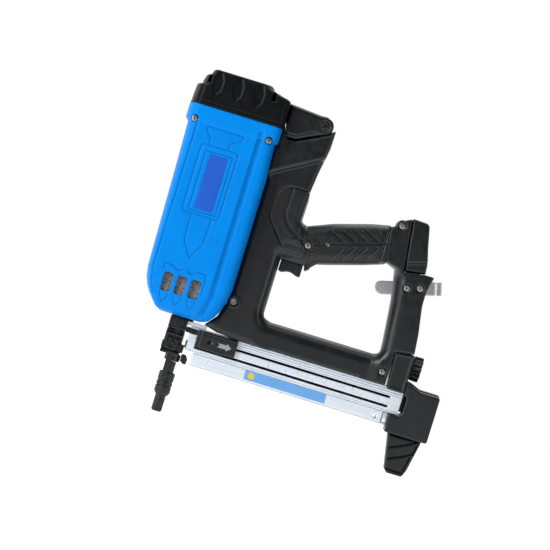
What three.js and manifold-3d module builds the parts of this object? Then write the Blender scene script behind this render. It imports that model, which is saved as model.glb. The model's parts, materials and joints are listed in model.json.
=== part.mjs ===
// A cordless gas nailer for concrete and steel: a combustion tool with a fuel cell, a battery and a pin
// magazine. Millimetres. The tool stands on its muzzle: +Z is up along the driving axis, +X points
// rearwards to the end of the magazine and +Y is the tool's right side. Everything is drawn with the
// driving axis at x = 0, y = 0 and the muzzle at z = 0; at the end the whole tool is shifted so that its
// origin is the middle of its box's underside.
import * as THREE from "three";
import { mergeVertices } from "three/addons/utils/BufferGeometryUtils.js";
import Module from "manifold-3d";

const wasm = await Module();
wasm.setup();

// ---------- driving dimensions ----------
const GAP = 0.3; // clearance between pieces that touch
const WALL = 3; // moulded shell wall
const HUGE = 500; // longer than the tool, for cutting boxes

const PISTON_STROKE = 97.5;

const COVER_HALF = 50; // half widths along y
const CAP_HALF = 52;
const CELL_HALF = 31; // fuel cell compartment
const COLUMN_HALF = 26; // column between the cover and the hand opening
const GRIP_HALF = 19;
const POST_HALF = 24; // rear post and the tower in front of the battery
const BRIDGE_HALF = 21; // bridge above the magazine
const MAGAZINE_HALF = 15;
const BLOCK_HALF = 22; // block at the magazine's rear end

const BLADE_RADIUS = 3.5;
const BORE_RADIUS = BLADE_RADIUS + GAP;
const PISTON_RADIUS = 25.7;
const CYLINDER_INNER = 26;
const CYLINDER_OUTER = 30;
const CHAMBER_INNER = 34.4;
const CHAMBER_OUTER = 38;
const HEAD_RADIUS = 34;
const TUBE_RADIUS = 6.75; // probe tube
const SLEEVE_RADIUS = 10;

const FLANGE_LOW = 148; // the cylinder stands on the nose housing's flange
const CYLINDER_LOW = 153.3;
const CYLINDER_TOP = 285;
const PISTON_LOW = 268;
const HEAD_LOW = 346;

const DOOR_PIN = [94, 384]; // x, z of the fuel door's hinge
const DOOR_SEAT_RADIUS = 11.3;
const DOOR_SWING_RADIUS = 45.8; // the door's front end stays inside this, to clear the cap as it opens
const CELL_X = 72; // axis of the fuel cell
const KNOB_Z = 139;
const HOOK_MIDDLE = [251.7, 230.5]; // x, z between the belt hook's two screws
const HOOK_TILT = THREE.MathUtils.degToRad(15);
const STRAP = { front: -6.5, back: 0, inner: 12.9, outer: 15.4 }; // probe linkage strap, on both sides

// ---------- making solids ----------
// A closed outline from corners [x, z, radius]; a corner with a radius becomes an arc.
function outline(corners, steps = 3) {
  const points = [];
  const at = (index) => new THREE.Vector2(...corners[(index + corners.length) % corners.length]);
  corners.forEach(([, , radius = 0], index) => {
    const corner = at(index);
    if (radius === 0) {
      points.push(corner);
      return;
    }
    const back = at(index - 1).sub(corner);
    const ahead = at(index + 1).sub(corner);
    const limit = 0.48 * Math.min(back.length(), ahead.length());
    back.normalize();
    ahead.normalize();
    const halfAngle = Math.acos(THREE.MathUtils.clamp(back.dot(ahead), -1, 1)) / 2;
    const reach = Math.min(radius / Math.tan(halfAngle), limit);
    for (let step = 0; step <= steps; step += 1) {
      const t = step / steps;
      const first = (1 - t) ** 2;
      const last = t ** 2;
      const weight = first + last + 2 * t * (1 - t) * Math.sin(halfAngle);
      const arc = back.clone().multiplyScalar((reach * first) / weight);
      arc.addScaledVector(ahead, (reach * last) / weight).add(corner);
      arc.arcLimit = 0.9 * reach * Math.tan(halfAngle);
      points.push(arc);
    }
  });
  return points;
}

function solid(geometry) {
  geometry.deleteAttribute("normal");
  geometry.deleteAttribute("uv");
  const merged = mergeVertices(geometry, 1e-5);
  const mesh = new wasm.Mesh({
    numProp: 3,
    vertProperties: new Float32Array(merged.attributes.position.array),
    triVerts: new Uint32Array(merged.index.array),
  });
  return new wasm.Manifold(mesh);
}

// The outline moved inwards; an arc never moves by more than most of its own radius, so it can't turn
// inside out.
function shrunk(points, distance) {
  return points.map((point, i) => {
    const before = points[(i + points.length - 1) % points.length];
    const after = points[(i + 1) % points.length];
    const incoming = point.clone().sub(before).normalize();
    const outgoing = after.clone().sub(point).normalize();
    const inward = new THREE.Vector2(-incoming.y - outgoing.y, incoming.x + outgoing.x).normalize();
    const lean = Math.max(0.5, inward.dot(new THREE.Vector2(-incoming.y, incoming.x)));
    return point.clone().addScaledVector(inward, Math.min(distance, point.arcLimit ?? Infinity) / lean);
  });
}

// A plate drawn in the XZ plane that runs from one y to another, with rounded edges.
function plate(corners, fromY, toY, edge = 0, edgeSteps = 1) {
  const base = outline(corners);
  if (THREE.ShapeUtils.isClockWise(base)) base.reverse();
  const steps = edge > 0 ? edgeSteps : 0;
  const layers = [];
  for (let step = 0; step <= steps; step += 1) {
    const angle = steps > 0 ? (Math.PI / 2) * (step / steps) : Math.PI / 2;
    layers.push({ inset: edge * (1 - Math.sin(angle)), depth: edge * (1 - Math.cos(angle)) });
  }
  const count = base.length;
  const positions = [];
  const addLayer = (inset, y) => shrunk(base, inset).forEach((point) => positions.push(point.x, y, point.y));
  layers.forEach(({ inset, depth }) => addLayer(inset, fromY + depth));
  layers.reverse().forEach(({ inset, depth }) => addLayer(inset, toY - depth));
  const index = [];
  for (let layer = 0; layer + 1 < 2 * layers.length; layer += 1) {
    for (let i = 0; i < count; i += 1) {
      const a = layer * count + i;
      const b = layer * count + ((i + 1) % count);
      index.push(a, b + count, b, a, a + count, b + count);
    }
  }
  const top = (2 * layers.length - 1) * count;
  for (const [a, b, c] of THREE.ShapeUtils.triangulateShape(base, [])) {
    index.push(a, b, c, top + a, top + c, top + b);
  }
  return new wasm.Manifold(
    new wasm.Mesh({
      numProp: 3,
      vertProperties: new Float32Array(positions),
      triVerts: new Uint32Array(index),
    }),
  );
}

function bothSides(corners, half, edge = 0, edgeSteps = 1) {
  return plate(corners, -half, half, edge, edgeSteps);
}

function box([x0, x1], [y0, y1], [z0, z1]) {
  const geometry = new THREE.BoxGeometry(x1 - x0, y1 - y0, z1 - z0);
  geometry.translate((x0 + x1) / 2, (y0 + y1) / 2, (z0 + z1) / 2);
  return solid(geometry);
}

// A round bar along an axis; across holds its two other coordinates, in x, y, z order.
function rod(axis, radius, from, to, across = [0, 0], sides = 20, endRadius = radius) {
  const geometry = new THREE.CylinderGeometry(endRadius, radius, to - from, sides);
  const middle = (from + to) / 2;
  if (axis === "x") geometry.rotateZ(-Math.PI / 2).translate(middle, across[0], across[1]);
  if (axis === "y") geometry.translate(across[0], middle, across[1]);
  if (axis === "z") geometry.rotateX(Math.PI / 2).translate(across[0], across[1], middle);
  return solid(geometry);
}

// A solid turned about the driving axis from a profile of [radius, z], drawn anticlockwise.
function turned(profile, sides = 28, x = 0) {
  const points = profile.map(([radius, z]) => new THREE.Vector2(radius, z));
  const geometry = new THREE.LatheGeometry(points, sides);
  geometry.rotateX(Math.PI / 2).translate(x, 0, 0);
  return solid(geometry);
}

function ring(inner, outer, low, high, sides = 28, x = 0) {
  return turned([[inner, low], [outer, low], [outer, high], [inner, high], [inner, low]], sides, x);
}

// A convex solid through stacked level outlines, each a list of [x, y] points at its z.
function loft(levels) {
  const count = levels[0].points.length;
  const positions = levels.flatMap(({ z, points }) => points.flatMap(([x, y]) => [x, y, z]));
  const index = [];
  for (let level = 0; level + 1 < levels.length; level += 1) {
    for (let i = 0; i < count; i += 1) {
      const a = level * count + i;
      const b = level * count + ((i + 1) % count);
      index.push(a, b, b + count, a, b + count, a + count);
    }
  }
  const top = (levels.length - 1) * count;
  for (let i = 1; i + 1 < count; i += 1) {
    index.push(0, i + 1, i, top, top + i, top + i + 1);
  }
  const geometry = new THREE.BufferGeometry();
  geometry.setAttribute("position", new THREE.Float32BufferAttribute(positions, 3));
  geometry.setIndex(index);
  return solid(geometry);
}

function coil(radius, wire, turns, low, high, x = 0) {
  class Helix extends THREE.Curve {
    getPoint(t, target = new THREE.Vector3()) {
      const angle = 2 * Math.PI * turns * t;
      const z = low + wire + (high - low - 2 * wire) * t;
      return target.set(x + radius * Math.cos(angle), radius * Math.sin(angle), z);
    }
  }
  const section = new THREE.Shape(new THREE.EllipseCurve(0, 0, wire, wire).getPoints(5).slice(0, 5));
  const geometry = new THREE.ExtrudeGeometry(section, { steps: turns * 14, extrudePath: new Helix() });
  return solid(geometry);
}

const join = (...pieces) => pieces.reduce((whole, piece) => whole.add(piece));
const LEFT = box([-HUGE, HUGE], [-HUGE, -GAP / 2], [-HUGE, HUGE]);
const RIGHT = box([-HUGE, HUGE], [GAP / 2, HUGE], [-HUGE, HUGE]);

// ---------- materials ----------
function look(color, roughness, metalness) {
  return new THREE.MeshStandardMaterial({ color, roughness, metalness });
}

const BLUE = look(0x0a86e8, 0.35, 0);
const BLACK = look(0x1b1e25, 0.5, 0);
const RUBBER = look(0x15171b, 0.85, 0);
const ALUMINIUM = look(0xc3c7cc, 0.35, 1);
const STEEL = look(0x9ba0a6, 0.3, 1);
const DARK_STEEL = look(0x4b4f55, 0.4, 1);
const BRASS = look(0xb08d4a, 0.35, 1);
const FOAM = look(0x6d7176, 0.95, 0);
const BOARD = look(0x1f6b3a, 0.6, 0);
const CAN = look(0xd5d8da, 0.3, 0.8);

const tool = new THREE.Group();

function add(name, body, material) {
  const { vertProperties, triVerts } = body.getMesh();
  const geometry = new THREE.BufferGeometry();
  geometry.setAttribute("position", new THREE.BufferAttribute(vertProperties, 3));
  geometry.setIndex(new THREE.BufferAttribute(triVerts, 1));
  geometry.computeVertexNormals();
  const mesh = new THREE.Mesh(geometry, material);
  mesh.name = name;
  tool.add(mesh);
}

// ---------- front cover and cap ----------
// One level of the cover: flat sides from crease to back, a shallow dome in front and round rear corners.
function coverLevel(z, front, crease, back, half, inset = 0) {
  const corner = 12;
  const points = [];
  for (let step = 0; step <= 3; step += 1) {
    const angle = (Math.PI / 2) * (step / 3);
    const reach = corner - inset;
    points.push([back - corner + reach * Math.cos(angle), half - corner + reach * Math.sin(angle)]);
  }
  for (let step = 0; step <= 8; step += 1) {
    const angle = Math.PI * (step / 8);
    const depth = crease - front - inset;
    points.push([crease - depth * Math.sin(angle) ** 0.8, (half - inset) * Math.cos(angle)]);
  }
  for (let step = 3; step >= 0; step -= 1) {
    const angle = (Math.PI / 2) * (step / 3);
    const reach = corner - inset;
    points.push([back - corner + reach * Math.cos(angle), -(half - corner) - reach * Math.sin(angle)]);
  }
  return { z, points };
}

// z, front, crease, back, half width
const COVER_LEVELS = [
  [117, -33, -29, 24, 26],
  [121, -38, -34, 29, 33],
  [127, -43, -38, 34, 39],
  [134, -49, -43, 38, 44],
  [142, -54, -47, 41, 47],
  [152, -58, -50, 44, 49],
  [165, -60, -52, 46, COVER_HALF],
  [303, -63.5, -52, 46, COVER_HALF],
  [305, -63.5, -52, 43, COVER_HALF],
  [345.7, -65, -52, 43, COVER_HALF],
];
const COLLAR_LEVELS = [
  [345.7, -68.8, -54, 46, CAP_HALF],
  [365.5, -68.8, -54, 46, CAP_HALF],
];
const CAP_LEVELS = [
  [365.8, -69, -54, 47.6, CAP_HALF],
  [388, -67, -53, 47.6, 51.5],
  [390, -64, -52, 47.6, 49],
  [398, -62, -50, 47.6, 48],
  [403, -60, -50, 40, 46],
  [409, -52, -44, 26, 40],
  [410.8, -47, -40, 20, 35],
];
const CAP_ROOM_LEVELS = [
  [365, -66, -51, 44.6, 49],
  [388, -64, -50, 44.6, 48.5],
  [400, -58, -46, 37, 42],
  [406, -48, -40, 22, 36],
];

const coverSolid = (levels, inset = 0) => loft(levels.map((level) => coverLevel(...level, inset)));

function frontCover() {
  const outer = join(coverSolid(COVER_LEVELS), coverSolid(COLLAR_LEVELS));
  const upperRoom = [[345, -65, -52, 43, COVER_HALF], [366, -65, -52, 43, COVER_HALF]];
  const roomLevels = COVER_LEVELS.slice(1, -1).map(([z, ...rest]) => [z < 125 ? z - 0.5 : z, ...rest]);
  const top = [346, -65, -52, 43, COVER_HALF];
  let cover = outer
    .subtract(coverSolid([...roomLevels, top], WALL))
    .subtract(coverSolid(upperRoom, WALL));
  cover = cover.subtract(box([-17, 17], [-19, 19], [110, 125]));
  const ventTop = 164;
  for (const [front, back] of [[-36.5, -25], [-20, -8], [-3, 9]]) {
    const vent = [[front, 141.5, 3], [back, 141.5, 3], [back, ventTop, 3], [front, ventTop, 3]];
    cover = cover.subtract(bothSides(vent, HUGE));
  }
  return cover;
}

const cover = frontCover();
const COVER_SCREWS = { front: -56, rear: 32 };
const COVER_SCREW_Z = 341;
const coverScrewHoles = join(
  ...Object.values(COVER_SCREWS).map((x) => rod("y", 2.3, -HUGE, HUGE, [x, COVER_SCREW_Z], 12)),
);
add("front_cover_left", cover.intersect(LEFT).subtract(coverScrewHoles), BLUE);
add("front_cover_right", cover.intersect(RIGHT).subtract(coverScrewHoles), BLUE);

const capBody = coverSolid(CAP_LEVELS).subtract(coverSolid(CAP_ROOM_LEVELS));
// Three pointed finger grooves on each side of the cap.
const GROOVE_DEEPEST = 50.4;
const capGrooves = [-41, -16.5, 9.5].flatMap((x) => {
  const corners = [[x - 4, 420], [x - 4, 390, 3], [x, 381, 1], [x + 4, 390, 3], [x + 4, 420]];
  return [plate(corners, -HUGE, -GROOVE_DEEPEST), plate(corners, GROOVE_DEEPEST, HUGE)];
});
add("cap", capBody.subtract(join(...capGrooves)), BLACK);
add("intake_filter", bothSides([[-44, 396, 3], [20, 396, 3], [20, 402, 3], [-44, 402, 3]], 33), FOAM);

for (const side of [-1, 1]) {
  const name = side < 0 ? "left" : "right";
  const face = side * 42.8; // just inside the cover, which narrows towards the vents
  const panel = [[-41, 139, 2], [13, 139, 2], [13, 167, 2], [-41, 167, 2]];
  const [low, high] = [face, face - side * 2].sort((a, b) => a - b);
  add(`vent_mesh_${name}`, plate(panel, low, high), FOAM);
}

// ---------- combustion engine ----------
const plugX = -20;
add(
  "cylinder_head",
  rod("z", HEAD_RADIUS, HEAD_LOW, 356, [0, 0], 36)
    .add(bothSides([[-49, 356], [37, 356], [37, 361], [-49, 361]], 41))
    .subtract(rod("z", 2.2, 300, 400, [0, 0], 12))
    .subtract(rod("z", 4.4, 300, 400, [plugX, 0], 12)),
  ALUMINIUM,
);
add(
  "spark_plug",
  turned(
    [[0, 342], [2, 342], [4, 346], [4, 361.3], [6, 361.3], [6, 366], [3, 368], [3, 376], [0, 376]],
    12,
    plugX,
  ),
  CAN,
);
add("fan_motor", ring(2.1, 11, 361.4, 388, 24), DARK_STEEL);
const blades = [0, 1, 2, 3].map((quarter) => {
  const blade = new THREE.BoxGeometry(20, 8, 1.4);
  blade.rotateX(THREE.MathUtils.degToRad(24)).translate(14, 0, 329).rotateZ((Math.PI / 2) * quarter);
  return solid(blade);
});
const fanHub = rod("z", 5.5, 325, 333, [0, 0], 16);
const fanShaft = rod("z", 1.7, 330, 386, [0, 0], 12);
add("fan", join(fanHub, fanShaft, ...blades), ALUMINIUM);
add(
  "cylinder",
  turned([
    [CYLINDER_INNER, CYLINDER_LOW + 4], [BORE_RADIUS + 2, CYLINDER_LOW + 4],
    [BORE_RADIUS + 2, CYLINDER_LOW],
    [CYLINDER_OUTER, CYLINDER_LOW], [CYLINDER_OUTER, 248], [CHAMBER_INNER - 0.6, 248],
    [CHAMBER_INNER - 0.6, 251],
    [CYLINDER_OUTER, 251], [CYLINDER_OUTER, 279], [HEAD_RADIUS, 279], [HEAD_RADIUS, CYLINDER_TOP],
    [CYLINDER_INNER, CYLINDER_TOP], [CYLINDER_INNER, CYLINDER_LOW + 4],
  ], 28),
  STEEL,
);
const bumperTop = PISTON_LOW - PISTON_STROKE - GAP;
add("bumper", ring(6, CYLINDER_INNER - 0.6, CYLINDER_LOW + 4.3, bumperTop, 24), RUBBER);
add("piston", turned([
  [0, PISTON_LOW + 2.5], [6, PISTON_LOW + 2.5], [6, PISTON_LOW], [PISTON_RADIUS, PISTON_LOW],
  [PISTON_RADIUS, 280],
  [20, 280], [17, 275], [0, 275],
], 32), ALUMINIUM);
add("driver_blade", turned([
  [0, 100], [BLADE_RADIUS, 100], [BLADE_RADIUS, PISTON_LOW - 4], [5.4, PISTON_LOW - 4],
  [5.4, PISTON_LOW + 2.2],
  [0, PISTON_LOW + 2.2],
], 16), STEEL);
add("combustion_chamber", ring(CHAMBER_INNER, CHAMBER_OUTER, 262, 340, 36), ALUMINIUM);

// ---------- nose ----------
const strapSlots = join(
  ...[-1, 1].map((side) => {
    const inner = side * (STRAP.inner - GAP);
    const outer = side * (STRAP.outer + GAP);
    const across = [Math.min(inner, outer), Math.max(inner, outer)];
    return box([STRAP.front - GAP, STRAP.back + GAP], across, [55, 120]);
  }),
);
const bore = rod("z", BORE_RADIUS, -10, HUGE, [0, 0], 20);
const tubeBore = rod("z", TUBE_RADIUS + 0.35, 50, 75, [0, 0], 24);

add(
  "nose_housing",
  join(
    box([-15.5, 6], [-18, 18], [101, 116.7]),
    rod("z", 12, 116, FLANGE_LOW + 1, [0, 0], 24),
    rod("z", 31, FLANGE_LOW, CYLINDER_LOW - GAP, [0, 0], 32),
  ).subtract(strapSlots).subtract(bore),
  ALUMINIUM,
);
add(
  "nose_block",
  join(
    box([-11, 6], [-12.4, 12.4], [75, 100.7]),
    box([-17, 10], [-12.4, 12.4], [75, 85]),
    box([-15.5, -10.5], [-16, 16], [84, 100.7]),
  ).subtract(bore).subtract(box([2, 20], [-2.4, 2.4], [77, 99])),
  STEEL,
);
add(
  "nose_plate",
  bothSides([[-16.5, 70.5, 1], [7, 70.5, 1], [7, 74.7, 1], [-16.5, 74.7, 1]], 20)
    .add(ring(TUBE_RADIUS + 0.35, 9.4, 63, 71, 24))
    .subtract(strapSlots).subtract(tubeBore),
  STEEL,
);
for (const side of [-1, 1]) {
  const name = side < 0 ? "left" : "right";
  const inner = side * (12.4 + GAP);
  const outer = side * 20;
  const guide = plate(
    [[-10.2, 76, 1], [2.3, 76, 1], [2.3, 90.7, 1], [-10.2, 90.7, 1]],
    Math.min(inner, outer),
    Math.max(inner, outer),
  );
  const screwAt = [-5, 83.5];
  const pocket = rod("y", 4.8, Math.min(side * 18, side * 24), Math.max(side * 18, side * 24), screwAt, 20);
  add(`strap_guide_${name}`, guide.subtract(strapSlots).subtract(pocket), STEEL);
}
add(
  "nose_latch",
  plate([[9.8, 74.4, 1], [9.8, 66, 1], [14, 63, 1.5], [18, 63, 1.5], [18, 70, 2], [15, 74.4, 2]], -6, 6),
  STEEL,
);

// The probe is the part that is pressed on the work: tube, sleeve and the linkage up to the combustion
// chamber.
add(
  "probe_tube",
  turned([
    [BORE_RADIUS + 0.4, 0], [TUBE_RADIUS - 1.4, 0], [TUBE_RADIUS, 2], [TUBE_RADIUS, 62.4],
    [BORE_RADIUS + 0.4, 62.4], [BORE_RADIUS + 0.4, 0],
  ], 24),
  STEEL,
);
add(
  "probe_sleeve",
  turned([
    [TUBE_RADIUS + GAP, 20.5], [8, 20.5], [SLEEVE_RADIUS, 24], [SLEEVE_RADIUS, 32],
    [SLEEVE_RADIUS - 1, 32.5],
    [SLEEVE_RADIUS - 1, 34], [SLEEVE_RADIUS, 34.5], [SLEEVE_RADIUS, 47.5], [SLEEVE_RADIUS - 1.2, 49],
    [TUBE_RADIUS + GAP, 49], [TUBE_RADIUS + GAP, 20.5],
  ], 20),
  DARK_STEEL,
);

function probeLinkage() {
  const lugLow = 41; // the lugs hold the probe sleeve between the two straps
  const lugHigh = 45;
  const yokeLow = 131;
  const yokeHigh = 135;
  const upperInner = CHAMBER_INNER - 0.1;
  const upperOuter = 37.3;
  const pieces = [
    box([-16, 16], [-upperOuter, upperOuter], [yokeLow, yokeHigh]),
    ring(CYLINDER_OUTER + 0.6, upperOuter, 190, 194, 32),
  ];
  for (const side of [-1, 1]) {
    const upper = [side * upperInner, side * upperOuter].sort((a, b) => a - b);
    const lower = [side * STRAP.inner, side * STRAP.outer].sort((a, b) => a - b);
    const lug = [side * (SLEEVE_RADIUS + GAP), side * STRAP.outer].sort((a, b) => a - b);
    pieces.push(box([-8, 8], upper, [yokeLow, 262 - GAP]));
    pieces.push(box([STRAP.front, STRAP.back], lower, [lugLow, yokeHigh]));
    pieces.push(box([STRAP.front, STRAP.back], lug, [lugLow, lugHigh]));
  }
  return join(...pieces).subtract(rod("z", 12.4, 120, 140, [0, 0], 24));
}
add("probe_linkage", probeLinkage(), STEEL);
add("probe_spring", coil(32.1, 1.1, 6, 194 + GAP, 248 - GAP), STEEL);

// ---------- housing shells ----------
const COMPARTMENT = [
  [46.4, 222], [46.4, 303.5], [43.4, 305.5], [43.4, 344.6], [46.4, 345.3], [46.4, 357.5], [65, 357.5, 3],
  [90, 370, 4], [95, 372.7, 3], [101.5, 375.4, 3], [105.3, 380, 2], [108.5, 382],
  [108, 360, 6], [103, 327, 30], [99, 290, 30], [98, 268, 6], [103, 262, 3], [110, 222],
];
const GRIP = [
  [80, 300], [98, 300], [98, 267, 5], [102, 263.5, 3], [109, 263.5, 5], [138, 275.5, 60], [183, 289, 80],
  [208, 294.5, 6], [225, 300], [230, 262], [224, 250, 2], [213, 250, 5], [184, 240, 40], [144, 228, 30],
  [131, 224.5, 10], [124, 219.5], [80, 219.5],
];
const TRIGGER_STOP = [
  [118.4, 226], [119.4, 216], [120.6, 212.3, 1], [123.4, 212.3, 1], [126, 219, 4], [133, 226],
];
const TOWER = [
  [204, 292.5], [208, 294.5, 3], [214, 300, 3], [220, 306, 5], [226.8, 309.3, 1.5], [234.6, 245],
  [216, 245], [204, 250],
];
const POST = [
  [222, 252], [224, 246, 3], [231, 206, 60], [235.6, 160, 30], [237, 141.7, 9], [222, 141.7],
  [222, 110], [253, 110],
  [253, 151.8], [276, 155, 1], [273.5, 180, 40], [268, 212, 50], [267.6, 230, 20], [272, 250, 1.5],
  [261, 250],
  [234.7, 246],
];
const COLUMN = [
  [30, 116.4], [42, 111.5, 6], [64, 110, 12], [108, 110], [108, 141.7], [89.8, 141.7, 12],
  [89.8, 240], [46.4, 240],
  [46.4, 165, 10], [44.3, 151, 10], [38.6, 133, 14],
];
const BRIDGE = [[60, 110], [250, 110], [250, 141.7], [60, 141.7]];

function housing() {
  const outer = join(
    bothSides(COMPARTMENT, CELL_HALF, 5),
    bothSides(GRIP, GRIP_HALF, 6),
    bothSides(TRIGGER_STOP, GRIP_HALF - 6, 1),
    bothSides(TOWER, POST_HALF, 3),
    bothSides(POST, POST_HALF, 3),
    bothSides(COLUMN, COLUMN_HALF, 3),
    bothSides(BRIDGE, BRIDGE_HALF, 3),
  );
  const room = join(
    bothSides(
      [
        [50, 236], [50, 390], [86, 390], [86, 364], [103, 364, 4], [99.5, 327], [95.5, 290], [94.5, 244],
        [90, 236],
      ],
      CELL_HALF - WALL,
    ),
    bothSides(
      [[92, 223.5], [92, 258], [108, 259.5, 4], [138, 271.5, 60], [183, 285, 80], [207, 290, 5], [222, 303],
        [229, 254], [213, 254, 5], [184, 244, 40], [144, 232, 30], [128, 227, 8], [124, 223.5]],
      GRIP_HALF - WALL,
    ),
    bothSides(
      [[50, 116], [50, 230], [86, 230], [86, 138], [104, 138], [104, 114], [64, 114]],
      COLUMN_HALF - WALL,
    ),
    bothSides([[100, 114], [249, 114], [249, 138], [100, 138]], BRIDGE_HALF - WALL),
    bothSides(
      [[240.5, 118], [249.5, 118], [249.5, 156], [271, 158.5], [269.5, 180], [264.5, 212, 40], [264, 230, 10],
        [266, 246.3], [257.5, 246.3], [257.5, 260], [237.3, 260], [239.5, 220], [240.5, 160]],
      POST_HALF - WALL,
    ),
  );
  // In front of the door's lower corner the shells fill the space that the door leaves as it swings.
  const doorFiller = bothSides([[47.9, 350], [47.9, 371], [60, 371], [60, 350]], CELL_HALF, 2)
    .subtract(rod("y", DOOR_SWING_RADIUS + GAP, -HUGE, HUGE, DOOR_PIN, 96));
  return outer.add(doorFiller).subtract(room);
}

// Two lugs inside the fuel door carry its hinge pin.
const LUG = [12, 18];
function hingeLug(fromY, toY) {
  const [x, z] = DOOR_PIN;
  return join(
    rod("y", 6.5, fromY, toY, DOOR_PIN, 20),
    plate([[x - 6.5, z], [x - 6.5, 362], [x + 10, 362], [x + 6.5, z]], fromY, toY),
  );
}

// Screws that hold the two shells together: x, z, head radius and the half width there.
const SHELL_SCREWS = {
  shell_screw_grip: { at: [116.5, 243], head: 4, half: GRIP_HALF },
  shell_screw_tower: { at: [217.5, 298], head: 4, half: POST_HALF },
  shell_screw_column: { at: [51, 153], head: 4.4, half: COLUMN_HALF },
  shell_screw_post: { at: [245, 125], head: 4, half: POST_HALF },
};
const HOOK_SCREW_STEP = 8;
const hookPoint = (along) => [
  HOOK_MIDDLE[0] + along * Math.cos(HOOK_TILT),
  HOOK_MIDDLE[1] + along * Math.sin(HOOK_TILT),
];

let shells = housing();
for (const { at, head, half } of Object.values(SHELL_SCREWS)) {
  shells = shells.add(rod("y", head + 1.6, -half + 1, half - 1, at, 16));
  shells = shells.subtract(rod("y", head + 0.4, -HUGE, -half + 4, at, 16));
  shells = shells.subtract(rod("y", 2.3, -half, 12, at, 12));
}
for (const along of [-HOOK_SCREW_STEP, HOOK_SCREW_STEP]) {
  for (const side of [-1, 1]) {
    const [low, high] = [side * (POST_HALF + 1), side * (POST_HALF - 8)].sort((a, b) => a - b);
    shells = shells.subtract(rod("y", 2.4, low, high, hookPoint(along), 12));
  }
  const pocket = rod("y", 3.9, -POST_HALF - 1, -POST_HALF + 1.6, hookPoint(along), 16);
  shells = shells.subtract(pocket);
}
const triggerSlot = box([90, 118.3], [-8.6, 8.6], [214, 226.5]);
const pinHole = rod("y", 3.3, -HUGE, HUGE, DOOR_PIN, 16);
shells = shells.subtract(triggerSlot);
add("housing_left", shells.add(hingeLug(-LUG[1], -LUG[0])).subtract(pinHole).intersect(LEFT), BLACK);
add("housing_right", shells.add(hingeLug(LUG[0], LUG[1])).subtract(pinHole).intersect(RIGHT), BLACK);

for (const [name, { at, head, half }] of Object.entries(SHELL_SCREWS)) {
  const screw = join(
    rod("y", head, -half + 1.5, -half + 3.7, at, 16),
    rod("y", 2, -half + 3, 11.5, at, 12),
  );
  const slot = box([at[0] - 0.6, at[0] + 0.6], [-half, -half + 2.6], [at[1] - 2.4, at[1] + 2.4]);
  const cross = box([at[0] - 2.4, at[0] + 2.4], [-half, -half + 2.6], [at[1] - 0.6, at[1] + 0.6]);
  add(name, screw.subtract(slot).subtract(cross), BRASS);
}

// Rubber side pads of the grip.
const PAD = [
  [122, 229.5, 4], [144, 231.5, 30], [184, 243.5, 40], [203, 250.2, 4], [203, 290.6, 4],
  [183, 285.5, 80], [138, 272, 60],
  [119, 264, 6],
];
for (const side of [-1, 1]) {
  const [low, high] = [side * (GRIP_HALF + GAP), side * (GRIP_HALF + 2.3)].sort((a, b) => a - b);
  const screwHole = rod("y", 4.6, low - 1, high + 1, SHELL_SCREWS.shell_screw_grip.at, 16);
  const pad = plate(PAD, low, high).subtract(screwHole);
  add(side < 0 ? "grip_pad_left" : "grip_pad_right", pad, RUBBER);
}

// ---------- fuel cell and its door ----------
const [pinX, pinZ] = DOOR_PIN;
const doorRadius = DOOR_SEAT_RADIUS - 0.6;
function fuelDoor() {
  const swing = rod("y", DOOR_SWING_RADIUS, -HUGE, HUGE, DOOR_PIN, 96);
  const abovePin = box([0, pinX], [-HUGE, HUGE], [pinZ, HUGE]);
  const lid = [
    [48.2, 398.3, 1], [pinX, pinZ + doorRadius - 0.2], [pinX, pinZ - doorRadius - 0.5], [90, 370.6, 4],
    [65, 358.1, 3], [48.2, 358.1],
  ];
  const knuckle = rod("y", doorRadius, -CELL_HALF + 2, CELL_HALF - 2, DOOR_PIN, 28);
  const outer = join(bothSides(lid, CELL_HALF, 4), knuckle);
  const room = bothSides([[51.4, 340], [51.4, 394.6], [84, 391], [84, 340]], CELL_HALF - WALL);
  let door = outer.intersect(swing.add(abovePin)).subtract(room).subtract(pinHole);
  for (const side of [-1, 1]) {
    const [low, high] = [side * (LUG[0] - 0.6), side * (LUG[1] + 0.6)].sort((a, b) => a - b);
    door = door.subtract(box([pinX - 20, pinX + 20], [low, high], [360, pinZ + 7.4]));
  }
  return door;
}
add("fuel_door", fuelDoor(), BLACK);
add("door_pin", join(rod("y", 2.9, -CELL_HALF + 1, CELL_HALF - 1, DOOR_PIN, 16)), STEEL);
add(
  "fuel_cell",
  turned([[0, 240], [15, 240], [17, 243], [17, 338], [12, 345], [0, 345]], 28, CELL_X),
  CAN,
);
add(
  "metering_valve",
  turned([[0, 345.4], [11, 345.4], [11, 352], [8, 356], [8, 366], [3, 368], [3, 374], [0, 374]], 20, CELL_X),
  BLACK,
);

// ---------- trigger ----------
add(
  "trigger",
  join(
    plate(
      [[90.6, 218.9, 1.2], [90.6, 204, 1.5], [95, 203, 2], [104, 206.5, 12], [114, 203, 3], [118, 203, 1.5],
        [117.8, 218.9, 1.2]],
      -8.2, 8.2, 1,
    ),
    box([97, 112], [-7, 7], [217, 222.5]),
  ),
  BLACK,
);
add("trigger_spring", coil(3, 0.5, 4, 222.8, 233.2, 104.5), STEEL);
add("trigger_switch", box([98, 110], [-7, 7], [233.5, 249]), BLACK);

// ---------- electronics ----------
add("control_board", join(
  box([125, 205], [-14, 14], [118, 119.6]),
  box([135, 150], [-9, 9], [119, 127]),
  box([160, 172], [-6, 6], [119, 124]),
  box([182, 194], [-10, 4], [119, 130]),
), BOARD);

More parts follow.
